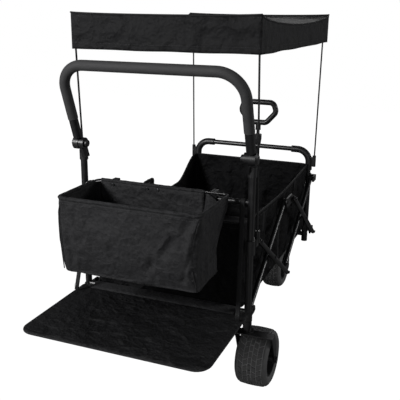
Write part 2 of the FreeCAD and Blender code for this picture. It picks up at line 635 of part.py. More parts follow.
def deck_panel():
    """Padded board with three loops round the lower crossbar."""
    board = box(V(-DECK_X, -DECK_BACK, DECK_TOP - DECK_T), V(DECK_X, -DECK_FRONT, DECK_TOP))
    far = [e for e in board.Edges if e.BoundBox.ZLength > 1 and e.BoundBox.YMin < -DECK_FRONT - 1]
    board = board.makeFillet(42.0, far)
    loops = []
    for x in (-170.0, 0.0, 170.0):
        band = cylinder(V(x - 25, 0, LOWER_BAR_Z), X_AXIS, LOWER_BAR_R + 3.0, 50)
        tongue = box(V(x - 25, -DECK_FRONT - 4, LOWER_BAR_Z - 2.5), V(x + 25, 0, LOWER_BAR_Z + 2.5))
        bore = cylinder(V(x - 26, 0, LOWER_BAR_Z), X_AXIS, LOWER_BAR_R + 0.5, 52)
        loops.append(band.fuse(tongue).cut(bore))
    return board.multiFuse(loops).removeSplitter()


def deck_straps():
    """Flat straps from the upper crossbar to the deck's edges."""
    top = V(261.0, -UPPER_BAR_R - 3.0, UPPER_BAR_Z)
    foot = V(281.0, -88.0, DECK_TOP + 1.5)
    half = V(7.0, 0, 0)
    thick = V(0, 1.6, 0)
    outline = [top - half, top + half, foot + half, foot - half]
    face = Part.Face(Part.makePolygon(outline + outline[:1]))
    return pair(face.extrude(thick))


# ---- tub, mat and canopy ---------------------------------------------------------------------
def tub_fabric():
    return open_box(V(-TUB_X, TUB_Y0, TUB_Z0), V(TUB_X, TUB_Y1, TUB_Z1), TUB_T, 20.0)


def floor_mat():
    mat = box(V(-TUB_X + 8, TUB_Y0 + 8, TUB_Z0 + TUB_T + 0.5), V(TUB_X - 8, TUB_Y1 - 8, TUB_Z0 + TUB_T + 10))
    return mat.makeFillet(20.0, [e for e in mat.Edges if e.BoundBox.ZLength > 1])


def sagging_block(inset, floor, drop):
    """A block whose top is pulled up to a point at each corner and sags between them."""
    steps = 8
    x_half = CANOPY_X - inset
    y0, y1 = CANOPY_Y0 + inset, CANOPY_Y1 - inset

    def top_point(i, j):
        u, v = i / steps, j / steps
        sag_x = CANOPY_SAG_ACROSS * math.sqrt(max(0.0, math.sin(math.pi * u)))
        sag_y = CANOPY_SAG_ALONG * math.sqrt(max(0.0, math.sin(math.pi * v)))
        z = CANOPY_TIP_Z - drop - sag_x * (1 - 0.5 * math.sin(math.pi * v)) \
            - sag_y * (1 - 0.4 * math.sin(math.pi * u))
        return V(-x_half + 2 * x_half * u, y0 + (y1 - y0) * v, z)

    def ground_point(i, j):
        point = top_point(i, j)
        return V(point.x, point.y, floor)

    faces = []

    def add(*corners):
        faces.append(Part.Face(Part.makePolygon(list(corners) + [corners[0]])))

    for i in range(steps):
        for j in range(steps):
            add(top_point(i, j), top_point(i + 1, j), top_point(i + 1, j + 1))
            add(top_point(i, j), top_point(i + 1, j + 1), top_point(i, j + 1))
    rim = [(i, 0) for i in range(steps)] + [(steps, j) for j in range(steps)]
    rim += [(steps - i, steps) for i in range(steps)] + [(0, steps - j) for j in range(steps)]
    for a, b in zip(rim, rim[1:] + rim[:1]):
        add(ground_point(*a), ground_point(*b), top_point(*b), top_point(*a))
    add(*[ground_point(*a) for a in rim])
    shell = Part.makeShell(faces)
    shell.sewShape()
    return Part.makeSolid(shell)


def canopy_fabric():
    outer = sagging_block(0.0, CANOPY_Z0, 0.0)
    inner = sagging_block(CANOPY_T, CANOPY_Z0 - 1.0, CANOPY_T)
    return outer.cut(inner)


# ---- write every node ------------------------------------------------------------------------
os.makedirs("parts", exist_ok=True)

save("rear_posts", rear_posts())
save("rear_lower_crossbar", rear_crossbar(LOWER_BAR_Z, LOWER_BAR_R))
save("rear_upper_crossbar", rear_crossbar(UPPER_BAR_Z, UPPER_BAR_R))
save("rear_pivot_brackets", rear_pivot_brackets())
save("tilt_hub_bases", tilt_hub_bases())
save("rear_wheel_brackets", rear_wheel_brackets())
save("rear_axle_bolts", rear_axle_bolts())
save("push_bar_tube", push_bar_tube())
save("push_bar_grip", push_bar_grip())
save("push_bar_hubs", push_bar_hubs())
save("front_lower_frame", front_lower_frame())
save("caster_sockets", caster_sockets())
save("handle_hinge_bracket", handle_hinge_bracket())
save("front_hoop", front_hoop())
save("hoop_corners", hoop_corners())
save("hoop_link_brackets", hoop_link_brackets())
save("front_canopy_poles", pair(rod(POLE_FOOT_FRONT, POLE_TOP_FRONT, POLE_R)))
save("handle_outer_tube", handle_outer_tube())
save("handle_collar", handle_collar())
save("handle_inner_tube", handle_inner_tube())
save("handle_grip", handle_grip())
save("basket_frame", basket_frame())
save("basket_fabric", basket_fabric())
save("deck_panel", deck_panel())
save("deck_straps", deck_straps())
save("tub_fabric", tub_fabric())
save("floor_mat", floor_mat())
save("canopy_fabric", canopy_fabric())

for name, side in SIDES:
    wheel = V(side * WHEEL_X, WHEEL_Y, WHEEL_R)
    caster = V(side * CASTER_X, CASTER_Y - CASTER_TRAIL, CASTER_R)
    save("rear_tyre_" + name, tyre(wheel, WHEEL_R, WHEEL_W))
    save("rear_rim_" + name, rim(wheel, WHEEL_W, AXLE_R + PIN_CLEAR, WHEEL_W / 2.0 + 2.0))
    save("caster_fork_" + name, caster_fork(side * CASTER_X))
    save("caster_tyre_" + name, tyre(caster, CASTER_R, CASTER_W))
    save("caster_rim_" + name, rim(caster, CASTER_W, 5.0 + PIN_CLEAR, CASTER_W / 2.0 + 2.0))
    save("tilt_button_" + name, on_side(tilt_button(), side))
    save("rear_canopy_pole_" + name, on_side(rod(POLE_FOOT_REAR, POLE_TOP_REAR, POLE_R), side))
    save("rear_slider_" + name, on_side(rear_slider(), side))
    save("top_bracket_" + name, on_side(top_bracket(), side))
    save("bottom_bracket_" + name, on_side(bottom_bracket(), side))
    save("rear_link_pins_" + name, on_side(rear_link_pins(), side))
    save("front_link_pins_" + name, on_side(front_link_pins(), side))
    links = {
        "link_rear_rising_": (LINK_IN_X, (PIVOT_REAR_Y, PIVOT_LOW_Z), (CENTRE_REAR_Y, CENTRE_HIGH_Z), REAR_CROSS),
        "link_rear_falling_": (LINK_OUT_X, (PIVOT_REAR_Y, PIVOT_HIGH_Z), (CENTRE_REAR_Y, CENTRE_LOW_Z), REAR_CROSS),
        "link_front_falling_": (LINK_OUT_X, (CENTRE_FRONT_Y, CENTRE_HIGH_Z), (PIVOT_FRONT_Y, PIVOT_LOW_Z), FRONT_CROSS),
        "link_front_rising_": (LINK_IN_X, (CENTRE_FRONT_Y, CENTRE_LOW_Z), (PIVOT_FRONT_Y, PIVOT_HIGH_Z), FRONT_CROSS),
    }
    for node, spec in links.items():
        save(node + name, on_side(link(*spec), side))

print("nodes", len([f for f in os.listdir("parts") if f.endswith(".step")]))
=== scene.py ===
"""Looks of the folding wagon: cloth, treads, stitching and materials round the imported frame."""
import json
import math
import random

import bpy
import numpy as np
from mathutils import Matrix, Vector, noise
from mathutils.kdtree import KDTree


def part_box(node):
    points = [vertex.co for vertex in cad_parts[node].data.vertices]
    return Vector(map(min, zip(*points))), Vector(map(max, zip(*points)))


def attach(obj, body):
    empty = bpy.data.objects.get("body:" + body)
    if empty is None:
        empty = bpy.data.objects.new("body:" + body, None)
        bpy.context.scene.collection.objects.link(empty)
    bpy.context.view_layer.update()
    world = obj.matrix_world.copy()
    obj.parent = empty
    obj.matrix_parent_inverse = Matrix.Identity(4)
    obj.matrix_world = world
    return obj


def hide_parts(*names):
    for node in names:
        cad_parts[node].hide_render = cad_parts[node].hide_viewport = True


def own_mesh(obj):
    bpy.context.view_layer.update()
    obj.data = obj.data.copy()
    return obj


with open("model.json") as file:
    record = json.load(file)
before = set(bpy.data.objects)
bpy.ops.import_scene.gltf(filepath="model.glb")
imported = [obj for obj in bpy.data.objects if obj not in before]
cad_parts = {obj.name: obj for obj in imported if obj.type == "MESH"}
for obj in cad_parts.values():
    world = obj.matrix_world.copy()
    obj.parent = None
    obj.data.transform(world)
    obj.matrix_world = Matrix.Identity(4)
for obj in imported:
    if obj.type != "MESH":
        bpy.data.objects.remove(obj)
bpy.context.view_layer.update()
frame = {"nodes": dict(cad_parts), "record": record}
random.seed(7)

# ---- places taken from the frame, metres -----------------------------------------------------
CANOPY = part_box("canopy_fabric")
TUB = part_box("tub_fabric")
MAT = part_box("floor_mat")
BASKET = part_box("basket_fabric")
RIM_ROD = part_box("basket_frame")
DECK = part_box("deck_panel")
POST_Y = (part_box("rear_posts")[0].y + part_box("rear_posts")[1].y) / 2
UPPER_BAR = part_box("rear_upper_crossbar")
LOWER_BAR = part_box("rear_lower_crossbar")

# ---- driving values: metres, degrees, watts --------------------------------------------------
CAMERA_PLACE = (0.811, -1.736 + POST_Y, 1.152)
CAMERA_AZIMUTH = 21.669
CAMERA_PITCH = 16.457
CAMERA_ROLL = 0.68
LENS = 57.2
SENSOR = 36.0

WORLD_GREY = (0.10, 0.10, 0.105, 1.0)
FLOOR_GREY = (0.18, 0.18, 0.18, 1.0)
FLOOR_SIZE = 6.0
# name, place, target, size, power
LIGHTS = (
    ("key", (-1.7, -2.9, 2.0), (0, -0.2, 0.5), (0.7, 0.7), 125),
    ("fill", (1.6, -3.0, 1.0), (0, -0.2, 0.6), (1.6, 1.0), 12),
    ("side", (3.0, 1.4, 1.5), (0, 0.1, 0.4), (0.7, 0.7), 26),
    ("back", (-0.4, 3.2, 2.4), (0, 0, 0.7), (1.4, 0.8), 14),
)

CLOTH_THICK = 0.0012

DECK_LOW_Z = 0.248
DECK_HIGH_Z = 0.2618
DECK_RADII = (0.044, 0.008)
DECK_SLEEVE_WIDE = 0.506
DECK_SLEEVE_R = 0.0107
STRAP_WIDE = 0.015
STRAP_TOP_X = 0.261
STRAP_FOOT_X = 0.281
QUILT_PITCH = 0.174

TREAD_DEEP = 0.0028
TREAD_PITCHES = 30
TREAD_GAP = 0.0030
TREAD_SHIFT = (0.0, 0.5, 0.12, 0.5, 0.0)
TREAD_SKEW = (6.0, -4.0, 0.0, 4.0, -6.0)
BEAD_R = 0.0575


# ---- mesh helpers ----------------------------------------------------------------------------
def lerp(a, b, t):
    return a + (b - a) * t


def smooth(t):
    t = min(1.0, max(0.0, t))
    return t * t * (3 - 2 * t)


def smooth_all(mesh):
    mesh.polygons.foreach_set("use_smooth", [True] * len(mesh.polygons))


def side_name(side):
    return "right" if side > 0 else "left"


def on_arc(degrees, radius):
    angle = math.radians(degrees)
    return radius * math.cos(angle), radius * math.sin(angle)


def inward(low, high, distance):
    """The corners of a box, drawn in by a distance along X and Y."""
    step = Vector((distance, distance, 0))
    return low + step, high - step


def bands(count, sides, closed=False):
    """Faces between rings of points that follow each other; a closed line joins last to first."""
    faces = []
    for n in range(count if closed else count - 1):
        here, onward = n * sides, (n + 1) % count * sides
        for k in range(sides):
            after = (k + 1) % sides
            faces.append((here + k, here + after, onward + after, onward + k))
    return faces


def caps(count, sides):
    """The two end faces of a line of rings."""
    return [tuple(reversed(range(sides))), tuple(range((count - 1) * sides, count * sides))]


def new_object(name, verts, faces, material=None, smooth_faces=True):
    mesh = bpy.data.meshes.new(name)
    mesh.from_pydata([tuple(v) for v in verts], [], faces)
    mesh.validate()
    mesh.polygons.foreach_set("use_smooth", [smooth_faces] * len(mesh.polygons))
    obj = bpy.data.objects.new(name, mesh)
    bpy.context.scene.collection.objects.link(obj)
    if material:
        mesh.materials.append(material)
    return obj


def apply_modifiers(obj):
    graph = bpy.context.evaluated_depsgraph_get()
    graph.update()
    mesh = bpy.data.meshes.new_from_object(obj.evaluated_get(graph))
    obj.modifiers.clear()
    obj.data = mesh


def thicken(obj, thickness, offset=0.0, levels=0):
    """Gives a sheet its thickness, and smooths it by subdivision when levels is above 0."""
    solid = obj.modifiers.new("thickness", "SOLIDIFY")
    solid.thickness = thickness
    solid.offset = offset
    if levels:
        finer = obj.modifiers.new("finer", "SUBSURF")
        finer.levels = levels
        finer.render_levels = levels
    apply_modifiers(obj)
    smooth_all(obj.data)


def box_sheet(name, nx, ny, nz, place, material):
    """One sheet: a panel with walls on its four edges. place(u, v, w) gives each point, with
    u and v across the panel and w from 0 at the panel's edge to 1 at the walls' free edge."""
    verts = [place(i / nx, j / ny, 0.0) for j in range(ny + 1) for i in range(nx + 1)]
    faces = []
    for j in range(ny):
        for i in range(nx):
            a = j * (nx + 1) + i
            faces.append((a, a + 1, a + nx + 2, a + nx + 1))
    loop = [(i, 0) for i in range(nx)] + [(nx, j) for j in range(ny)]
    loop += [(nx - i, ny) for i in range(nx)] + [(0, ny - j) for j in range(ny)]
    previous = [j * (nx + 1) + i for i, j in loop]
    for k in range(1, nz + 1):
        start = len(verts)
        verts += [place(i / nx, j / ny, k / nz) for i, j in loop]
        current = list(range(start, start + len(loop)))
        for a in range(len(loop)):
            b = (a + 1) % len(loop)
            faces.append((previous[a], current[a], current[b], previous[b]))
        previous = current
    return new_object(name, verts, faces, material)


def tube(name, points, radius, material, sides=10, closed=False, flat=1.0):
    """A round or flattened tube along a line of points."""
    points = [Vector(p) for p in points]
    count = len(points)
    verts = []
    normal = None
    for n, point in enumerate(points):
        before = points[(n - 1) % count] if closed or n else point
        after = points[(n + 1) % count] if closed or n < count - 1 else point
        along = (after - before).normalized()
        if normal is None:
            normal = along.orthogonal().normalized()
            if abs(along.z) < 0.9:
                normal = Vector((0, 0, 1)).cross(along).normalized()
        normal = (normal - along * normal.dot(along)).normalized()
        side = along.cross(normal)
        for k in range(sides):
            angle = 2 * math.pi * k / sides
            away = normal * (math.cos(angle) * radius)
            verts.append(point + away + side * (math.sin(angle) * radius * flat))
    faces = bands(count, sides, closed)
    if not closed:
        faces += caps(count, sides)
    return new_object(name, verts, faces, material)


def join(name, objects):
    """Joins meshes into one object."""
    verts, faces, materials, slots = [], [], [], []
    for obj in objects:
        start = len(verts)
        verts += [obj.matrix_world @ v.co for v in obj.data.vertices]
        for polygon in obj.data.polygons:
            material = obj.data.materials[polygon.material_index]
            if material not in materials:
                materials.append(material)
            faces.append(tuple(start + i for i in polygon.vertices))
            slots.append(materials.index(material))
        bpy.data.objects.remove(obj)
    joined = new_object(name, verts, faces)
    for material in materials:
        joined.data.materials.append(material)
    joined.data.polygons.foreach_set("material_index", slots)
    return joined


def resample(points, spacing, closed=False):
    """Points at even distances along a line."""
    points = [Vector(p) for p in points]
    if closed:
        points.append(points[0])
    lengths = [0.0]
    for a, b in zip(points, points[1:]):
        lengths.append(lengths[-1] + (b - a).length)
    count = max(2, int(lengths[-1] / spacing))
    out, k = [], 0
    for n in range(count + (0 if closed else 1)):
        want = lengths[-1] * n / count
        while k < len(lengths) - 2 and lengths[k + 1] < want:
            k += 1
        span = lengths[k + 1] - lengths[k]
        out.append(points[k].lerp(points[k + 1], (want - lengths[k]) / span if span > 0 else 0))
    return out


def stitches(name, points, outward, material, closed=False, pitch=0.0052, stand=0.0006):
    """Thread laid along a line: one small flattened bead a stitch."""
    verts, faces = [], []
    line = resample(points, pitch, closed)
    count = len(line)
    for n in range(count if closed else count - 1):
        a, b = line[n], line[(n + 1) % count]
        along = (b - a).normalized()
        out = outward(a) if callable(outward) else Vector(outward)
        side = along.cross(out).normalized()
        start = len(verts)
        half = (b - a).length * 0.36
        middle = (a + b) / 2 + out * stand
        for t, r in ((-1.0, 0.2), (-0.5, 0.9), (0.5, 0.9), (1.0, 0.2)):
            centre = middle + along * (half * t)
            for c, s in ((1, 0), (0.3, 1), (-1, 0), (0.3, -1)):
                verts.append(centre + out * (c * 0.0005 * r) + side * (s * 0.0006 * r))
        faces += [tuple(start + i for i in face) for face in bands(4, 4)]
    return new_object(name, verts, faces, material)


def side_of(low, high):
    """A function that gives the way out of a box through the side nearest to a point."""
    centre = (low + high) / 2
    half = (high - low) / 2

    def outward(point):
        away = point - centre
        if abs(away.x) / half.x > abs(away.y) / half.y:
            return Vector((math.copysign(1, away.x), 0, 0))
        return Vector((0, math.copysign(1, away.y), 0))
    return outward


def ride(obj, body, replaced=()):
    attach(obj, body)
    if replaced:
        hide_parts(*replaced)
    return obj


# ---- materials -------------------------------------------------------------------------------
def material(name, colour, roughness, build=None, **sockets):
    mat = bpy.data.materials.new(name)
    mat.use_nodes = True
    tree = mat.node_tree
    shader = tree.nodes["Principled BSDF"]
    shader.inputs["Base Color"].default_value = (*colour, 1.0)
    shader.inputs["Roughness"].default_value = roughness
    for key, value in sockets.items():
        shader.inputs[key.replace("_", " ")].default_value = value
    if build:
        build(tree, shader, colour, roughness)
    return mat


def link_bump(tree, shader, height, strength, distance):
    bump = tree.nodes.new("ShaderNodeBump")
    bump.inputs["Strength"].default_value = strength
    bump.inputs["Distance"].default_value = distance
    tree.links.new(height, bump.inputs["Height"])
    tree.links.new(bump.outputs["Normal"], shader.inputs["Normal"])


def noise_node(tree, coords, scale, detail=3.0, roughness=0.5):
    node = tree.nodes.new("ShaderNodeTexNoise")
    node.inputs["Scale"].default_value = scale
    node.inputs["Detail"].default_value = detail
    node.inputs["Roughness"].default_value = roughness
    tree.links.new(coords, node.inputs["Vector"])
    return node.outputs["Fac"]


def wave_node(tree, coords, direction, pitch, distortion, detail_scale=1.0):
    """Bands at the given pitch."""
    node = tree.nodes.new("ShaderNodeTexWave")
    node.bands_direction = direction
    node.inputs["Scale"].default_value = 0.314 / pitch
    node.inputs["Distortion"].default_value = distortion
    node.inputs["Detail Scale"].default_value = detail_scale
    tree.links.new(coords, node.inputs["Vector"])
    return node.outputs["Fac"]


def maths(tree, operation, a, b):
    node = tree.nodes.new("ShaderNodeMath")
    node.operation = operation
    for socket, value in ((node.inputs[0], a), (node.inputs[1], b)):
        if isinstance(value, (int, float)):
            socket.default_value = value
        else:
            tree.links.new(value, socket)
    return node.outputs[0]


def ridged(tree, value):
    """Turns soft noise into sharp-crested folds."""
    away = maths(tree, "ABSOLUTE", maths(tree, "SUBTRACT", value, 0.5), 0.0)
    return maths(tree, "SUBTRACT", 1.0, maths(tree, "MULTIPLY", away, 2.0))


def vary(tree, value, low, high):
    node = tree.nodes.new("ShaderNodeMapRange")
    node.inputs["From Min"].default_value = 0.3
    node.inputs["From Max"].default_value = 0.7
    node.inputs["To Min"].default_value = low
    node.inputs["To Max"].default_value = high
    tree.links.new(value, node.inputs["Value"])
    return node.outputs["Result"]


def tint(tree, shader, colour, factor, low, high):
    """Colour variation: the base colour scaled between low and high by a noise."""
    ramp = tree.nodes.new("ShaderNodeMix")
    ramp.data_type = "RGBA"
    ramp.inputs["A"].default_value = (*[c * low for c in colour], 1.0)
    ramp.inputs["B"].default_value = (*[c * high for c in colour], 1.0)
    tree.links.new(vary(tree, factor, 0.0, 1.0), ramp.inputs["Factor"])
    tree.links.new(ramp.outputs["Result"], shader.inputs["Base Color"])


def woven(pitch, depth, crease=0.35):
    """Plain weave of the given thread pitch over soft creases."""
    def build(tree, shader, colour, roughness):
        coords = tree.nodes.new("ShaderNodeTexCoord").outputs["Object"]
        height = None
        for direction in ("X", "Y", "Z"):
            threads = wave_node(tree, coords, direction, pitch, 0.6, 3.0)
            height = threads if height is None else maths(tree, "ADD", height, threads)
        slub = noise_node(tree, coords, 900.0, 2.0)
        height = maths(tree, "MULTIPLY", maths(tree, "ADD", height, slub), depth)
        for scale, size in ((5.0, 0.060), (14.0, 0.028), (45.0, 0.008)):
            wrinkle = ridged(tree, noise_node(tree, coords, scale, 3.0, 0.5))
            height = maths(tree, "ADD", height, maths(tree, "MULTIPLY", wrinkle, crease * size))
        link_bump(tree, shader, height, 1.0, 1.0)
        patch = noise_node(tree, coords, 110.0, 6.0, 0.75)
        tint(tree, shader, colour, patch, 0.35, 1.75)
        gloss = vary(tree, patch, roughness - 0.07, min(1.0, roughness + 0.07))
        tree.links.new(gloss, shader.inputs["Roughness"])
    return build


def coated(grain, depth, wear=0.0):
    """Powder coat or moulded plastic: fine orange peel and faint handling marks; wear lifts the lightest
    marks.
    """
    def build(tree, shader, colour, roughness):
        coords = tree.nodes.new("ShaderNodeTexCoord").outputs["Object"]
        peel = noise_node(tree, coords, grain, 2.0)
        link_bump(tree, shader, maths(tree, "MULTIPLY", peel, depth), 0.6, 1.0)
        marks = noise_node(tree, coords, 34.0, 6.0, 0.7)
        tree.links.new(vary(tree, marks, roughness - 0.08, roughness + 0.1), shader.inputs["Roughness"])
        tint(tree, shader, colour, marks, 0.85, 1.2 + wear)
    return build


def ribbed(pitch, depth):
    """Webbing: ribs across the strap."""
    def build(tree, shader, colour, roughness):
        coords = tree.nodes.new("ShaderNodeTexCoord").outputs["Object"]
        ribs = wave_node(tree, coords, "DIAGONAL", pitch, 0.3)
        fine = noise_node(tree, coords, 1400.0, 2.0)
        height = maths(tree, "MULTIPLY", maths(tree, "ADD", ribs, fine), depth)
        link_bump(tree, shader, height, 0.9, 1.0)
        tint(tree, shader, colour, fine, 0.8, 1.3)
    return build


CLOTH = material("black_polyester", (0.0105, 0.0105, 0.0115), 0.66, woven(0.0007, 0.00012),
                 Sheen_Weight=0.03, Sheen_Roughness=0.4, Specular_IOR_Level=0.26)
CANOPY_CLOTH = material("canopy_polyester", (0.0058, 0.0058, 0.0064), 0.68, woven(0.0007, 0.00010, 0.45),
                        Sheen_Weight=0.03, Sheen_Roughness=0.4, Specular_IOR_Level=0.2)
# Tub cloth: the black polyester painted darker, as painted shade for the tub's shaded inside; the darker
# colour covers the whole tub.
TUB_CLOTH_PAINTED_SHADE = material("tub_polyester_painted_shade", (0.0032, 0.0032, 0.0036), 0.70, woven(0.0007, 0.00012, 0.6),
                     Specular_IOR_Level=0.12)
# Deck cloth: the black polyester painted darker, as painted shade for the little light that falls on the
# deck's top.
DECK_CLOTH_PAINTED_SHADE = material("deck_polyester_painted_shade", (0.0040, 0.0040, 0.0045), 0.64, woven(0.0007, 0.00012, 0.6),
                      Specular_IOR_Level=0.24)
WEBBING = material("black_webbing", (0.0075, 0.0075, 0.0080), 0.7, ribbed(0.0022, 0.0003),
                   Specular_IOR_Level=0.25)
THREAD = material("black_thread", (0.022, 0.022, 0.024), 0.5, ribbed(0.0006, 0.0001))
COAT = material("powder_coat", (0.0050, 0.0050, 0.0055), 0.34, coated(900.0, 0.00004),
                Specular_IOR_Level=0.55)
PLASTIC = material("moulded_plastic", (0.0065, 0.0065, 0.0070), 0.42, coated(1500.0, 0.00006))
FOAM = material("grip_foam", (0.032, 0.032, 0.033), 0.75, coated(620.0, 0.0005), Specular_IOR_Level=0.35)
GROOVE = material("tyre_groove", (0.26, 0.26, 0.26), 0.8, coated(420.0, 0.0003, 0.2))
RUBBER = material("tyre_rubber", (0.085, 0.085, 0.085), 0.74, coated(420.0, 0.0003, 0.15))
STEEL = material("blackened_steel", (0.05, 0.05, 0.053), 0.32, coated(700.0, 0.00004), Metallic=0.85)
ANODISED = material("black_anodised", (0.03, 0.03, 0.032), 0.3, coated(1200.0, 0.00003), Metallic=0.9)

SLOT_LOOK = {
    "painted_frame": COAT,
    "fastener": STEEL,
    "bright_tube": ANODISED,
    "moulded": PLASTIC,
    "foam_grip": FOAM,
    "tyre": RUBBER,
    "cloth": CLOTH,
}
SLOT_OF = {part["node"]: part["material_slot"] for part in frame["record"]["subparts"]}


def dress_frame():
    for node, obj in frame["nodes"].items():
        look = SLOT_LOOK[SLOT_OF[node]]
        obj.data.materials.clear()
        obj.data.materials.append(look)
        obj.data.polygons.foreach_set("material_index", [0] * len(obj.data.polygons))


# ---- cloth -----------------------------------------------------------------------------------
def simulate(obj, pinned, frames, pull=1.0, cap=0.02, stiffness=12.0, bending=0.6, pressure=0.0):
    """Lets a sheet settle under its weight, held where pinned(point) is above 0."""
    rest = np.array([v.co for v in obj.data.vertices])
    group = obj.vertex_groups.new(name="held")
    for index, point in enumerate(rest):
        weight = pinned(Vector(point))
        if weight > 0:
            group.add([index], weight, "REPLACE")
    cloth = obj.modifiers.new("cloth", "CLOTH")
    settings = cloth.settings
    settings.quality = 6
    settings.mass = 0.25
    settings.tension_stiffness = stiffness
    settings.compression_stiffness = stiffness
    settings.shear_stiffness = stiffness * 0.6
    settings.bending_stiffness = bending
    settings.vertex_group_mass = "held"
    settings.effector_weights.gravity = pull
    if pressure:
        settings.use_pressure = True
        settings.uniform_pressure_force = pressure
    cloth.point_cache.frame_start = 1
    cloth.point_cache.frame_end = frames
    scene = bpy.context.scene
    for number in range(1, frames + 1):
        scene.frame_set(number)
    graph = bpy.context.evaluated_depsgraph_get()
    settled = obj.evaluated_get(graph).to_mesh()
    moved = np.array([v.co for v in settled.vertices]) - rest
    obj.evaluated_get(graph).to_mesh_clear()
    length = np.linalg.norm(moved, axis=1, keepdims=True)
    moved *= np.minimum(1.0, cap / np.maximum(length, 1e-9))
    obj.modifiers.clear()
    obj.vertex_groups.clear()
    obj.data.vertices.foreach_set("co", (rest + moved).astype(np.float32).ravel())
    obj.data.update()
    scene.frame_set(1)


def wander(point, scale, seed=0.0):
    """Soft noise from -1 to 1."""
    x, y, z = point[0] * scale + seed, point[1] * scale - seed, point[2] * scale + 2 * seed
    return noise.noise(Vector((x, y, z)))


def crease(point, start, end, width, depth):
    """Depth of one soft fold that runs from start to end and fades at both."""
    start, end = Vector(start), Vector(end)
    along = end - start
    t = (point - start).dot(along) / along.length_squared
    if t < -0.1 or t > 1.1:
        return 0.0
    away = (point - (start + along * t)).length / width
    if away > 3:
        return 0.0
    return depth * math.exp(-away * away) * smooth((t + 0.1) * 5) * smooth((1.1 - t) * 1.6)


# ---- canopy ----------------------------------------------------------------------------------
def canopy_place(u, v, w):
    low, high = CANOPY
    edge = 0.0022
    x = lerp(low.x + edge, high.x - edge, u)
    y = lerp(low.y + edge, high.y - edge, v)
    along_x = math.sin(math.pi * u)
    along_y = math.sin(math.pi * v)
    sag_x = 0.004 * math.sqrt(along_x) * (1 - 0.5 * along_y)
    sag_y = 0.030 * math.sqrt(along_y) * (1 - 0.4 * along_x)
    top = high.z - 0.002 - sag_x - sag_y - 0.006 * along_x * along_y
    if w == 0:
        ripple = 0.0035 * wander((x, y, 0), 5.0) * along_x * along_y
        return Vector((x, y, top + ripple))
    bottom = low.z + 0.004 * wander((x, y, 0), 6.0, 3.0) + 0.003
    z = lerp(top, bottom, w)
    pull = w * (1 - 0.4 * w)
    along = u if v in (0.0, 1.0) else v
    slack = math.sin(math.pi * along)
    swell = pull * slack * (0.006 * wander((x, y, 0), 9.0, 5.0) - 0.004)
    if v in (0.0, 1.0) and u not in (0.0, 1.0):
        y += swell * (1 if v == 1.0 else -1)
    if u in (0.0, 1.0) and v not in (0.0, 1.0):
        x += swell * (1 if u == 1.0 else -1)
    return Vector((x, y, z))


def make_canopy():
    low, high = CANOPY
    nx, ny, nz = 54, 84, 12
    cloth = box_sheet("canopy_cloth", nx, ny, nz, canopy_place, CANOPY_CLOTH)

    def held(point):
        on_x = min(point.x - low.x, high.x - point.x)
        on_y = min(point.y - low.y, high.y - point.y)
        corner = math.hypot(on_x, on_y)
        if corner < 0.014:
            return 1.0
        if min(on_x, on_y) < 0.004 and point.z > low.z + 0.06:
            return 0.8
        return 0.0

    simulate(cloth, held, 22, pull=0.8, cap=0.006, bending=0.15)
    edge = [canopy_place(i / nx, 0.0, 0.0) for i in range(nx)]
    edge += [canopy_place(1.0, j / ny, 0.0) for j in range(ny)]
    edge += [canopy_place(1 - i / nx, 1.0, 0.0) for i in range(nx)]
    edge += [canopy_place(0.0, 1 - j / ny, 0.0) for j in range(ny)]
    loops = boundary_and_edge(cloth, edge)
    piping = tube("canopy_piping", loops["edge"], 0.0028, WEBBING, 8, closed=True)
    outward = side_of(low, high)
    hem_line = [p + Vector((0, 0, 0.018)) for p in loops["free"]]
    hem = stitches("canopy_hem_stitches", hem_line, outward, THREAD, closed=True, stand=0.0016)
    seam_line = [p + Vector((0, 0, -0.007)) for p in loops["edge"]]
    seam = stitches("canopy_seam_stitches", seam_line, outward, THREAD, closed=True, stand=0.0016)
    thicken(cloth, 0.0014)
    pieces = [cloth, piping, hem, seam]
    for obj in pieces:
        ride(obj, "rear_slider_right")
    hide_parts("canopy_fabric")
    for obj in pieces:
        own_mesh(obj)


def boundary_and_edge(obj, edge):
    """The settled places of a sheet's free edge and of its folded edge, both in order round it."""
    mesh = obj.data
    counts = {}
    for polygon in mesh.polygons:
        for key in polygon.edge_keys:
            counts[key] = counts.get(key, 0) + 1
    free = {}
    for (a, b), number in counts.items():
        if number == 1:
            free.setdefault(a, []).append(b)
            free.setdefault(b, []).append(a)
    start = min(free)
    order, last, here = [start], None, start
    while True:
        onward = [n for n in free[here] if n != last]
        last, here = here, onward[0]
        if here == start:
            break
        order.append(here)
    finder = KDTree(len(mesh.vertices))
    for vertex in mesh.vertices:
        finder.insert(vertex.co, vertex.index)
    finder.balance()
    settled = [mesh.vertices[finder.find(p)[1]].co.copy() for p in edge]
    return {"free": [mesh.vertices[i].co.copy() for i in order], "edge": settled}


# ---- bags ------------------------------------------------------------------------------------
def rounded(x, y, low, high, radius):
    """Pulls a point of a rectangle in, so that the rectangle's corners become round."""
    cx = min(max(x, low.x + radius), high.x - radius)
    cy = min(max(y, low.y + radius), high.y - radius)
    away = Vector((x - cx, y - cy))
    reach = max(abs(away.x), abs(away.y))
    if away.x and away.y and reach > 0:
        away = away.normalized() * reach
    return cx + away.x, cy + away.y


def path_crease(point, line, width, depth):
    """One fold along a bent line."""
    return max((crease(point, a, b, width, depth) for a, b in zip(line, line[1:])), key=abs)


def sleeve(name, points, radius, cloth, squeeze=1.0):
    """Cloth sewn round a rod: a tube with soft puckers."""
    line = resample(points, 0.006)
    obj = tube(name, line, radius, cloth, 14, flat=squeeze)
    for vertex in obj.data.vertices:
        pucker = 0.0009 * wander(vertex.co, 55.0, 2.0)
        vertex.co += Vector((pucker, pucker * 0.6, pucker))
    return obj


ROD_R = 0.0035
RIM_X = RIM_ROD[1].x - ROD_R
RIM_Z = RIM_ROD[1].z - ROD_R
RIM_NEAR = RIM_ROD[0].y + ROD_R
RIM_FAR = POST_Y - 0.020
BAG_LOW = Vector((-RIM_X, RIM_NEAR, BASKET[0].z))
BAG_HIGH = Vector((RIM_X, RIM_FAR, RIM_Z - 0.001))
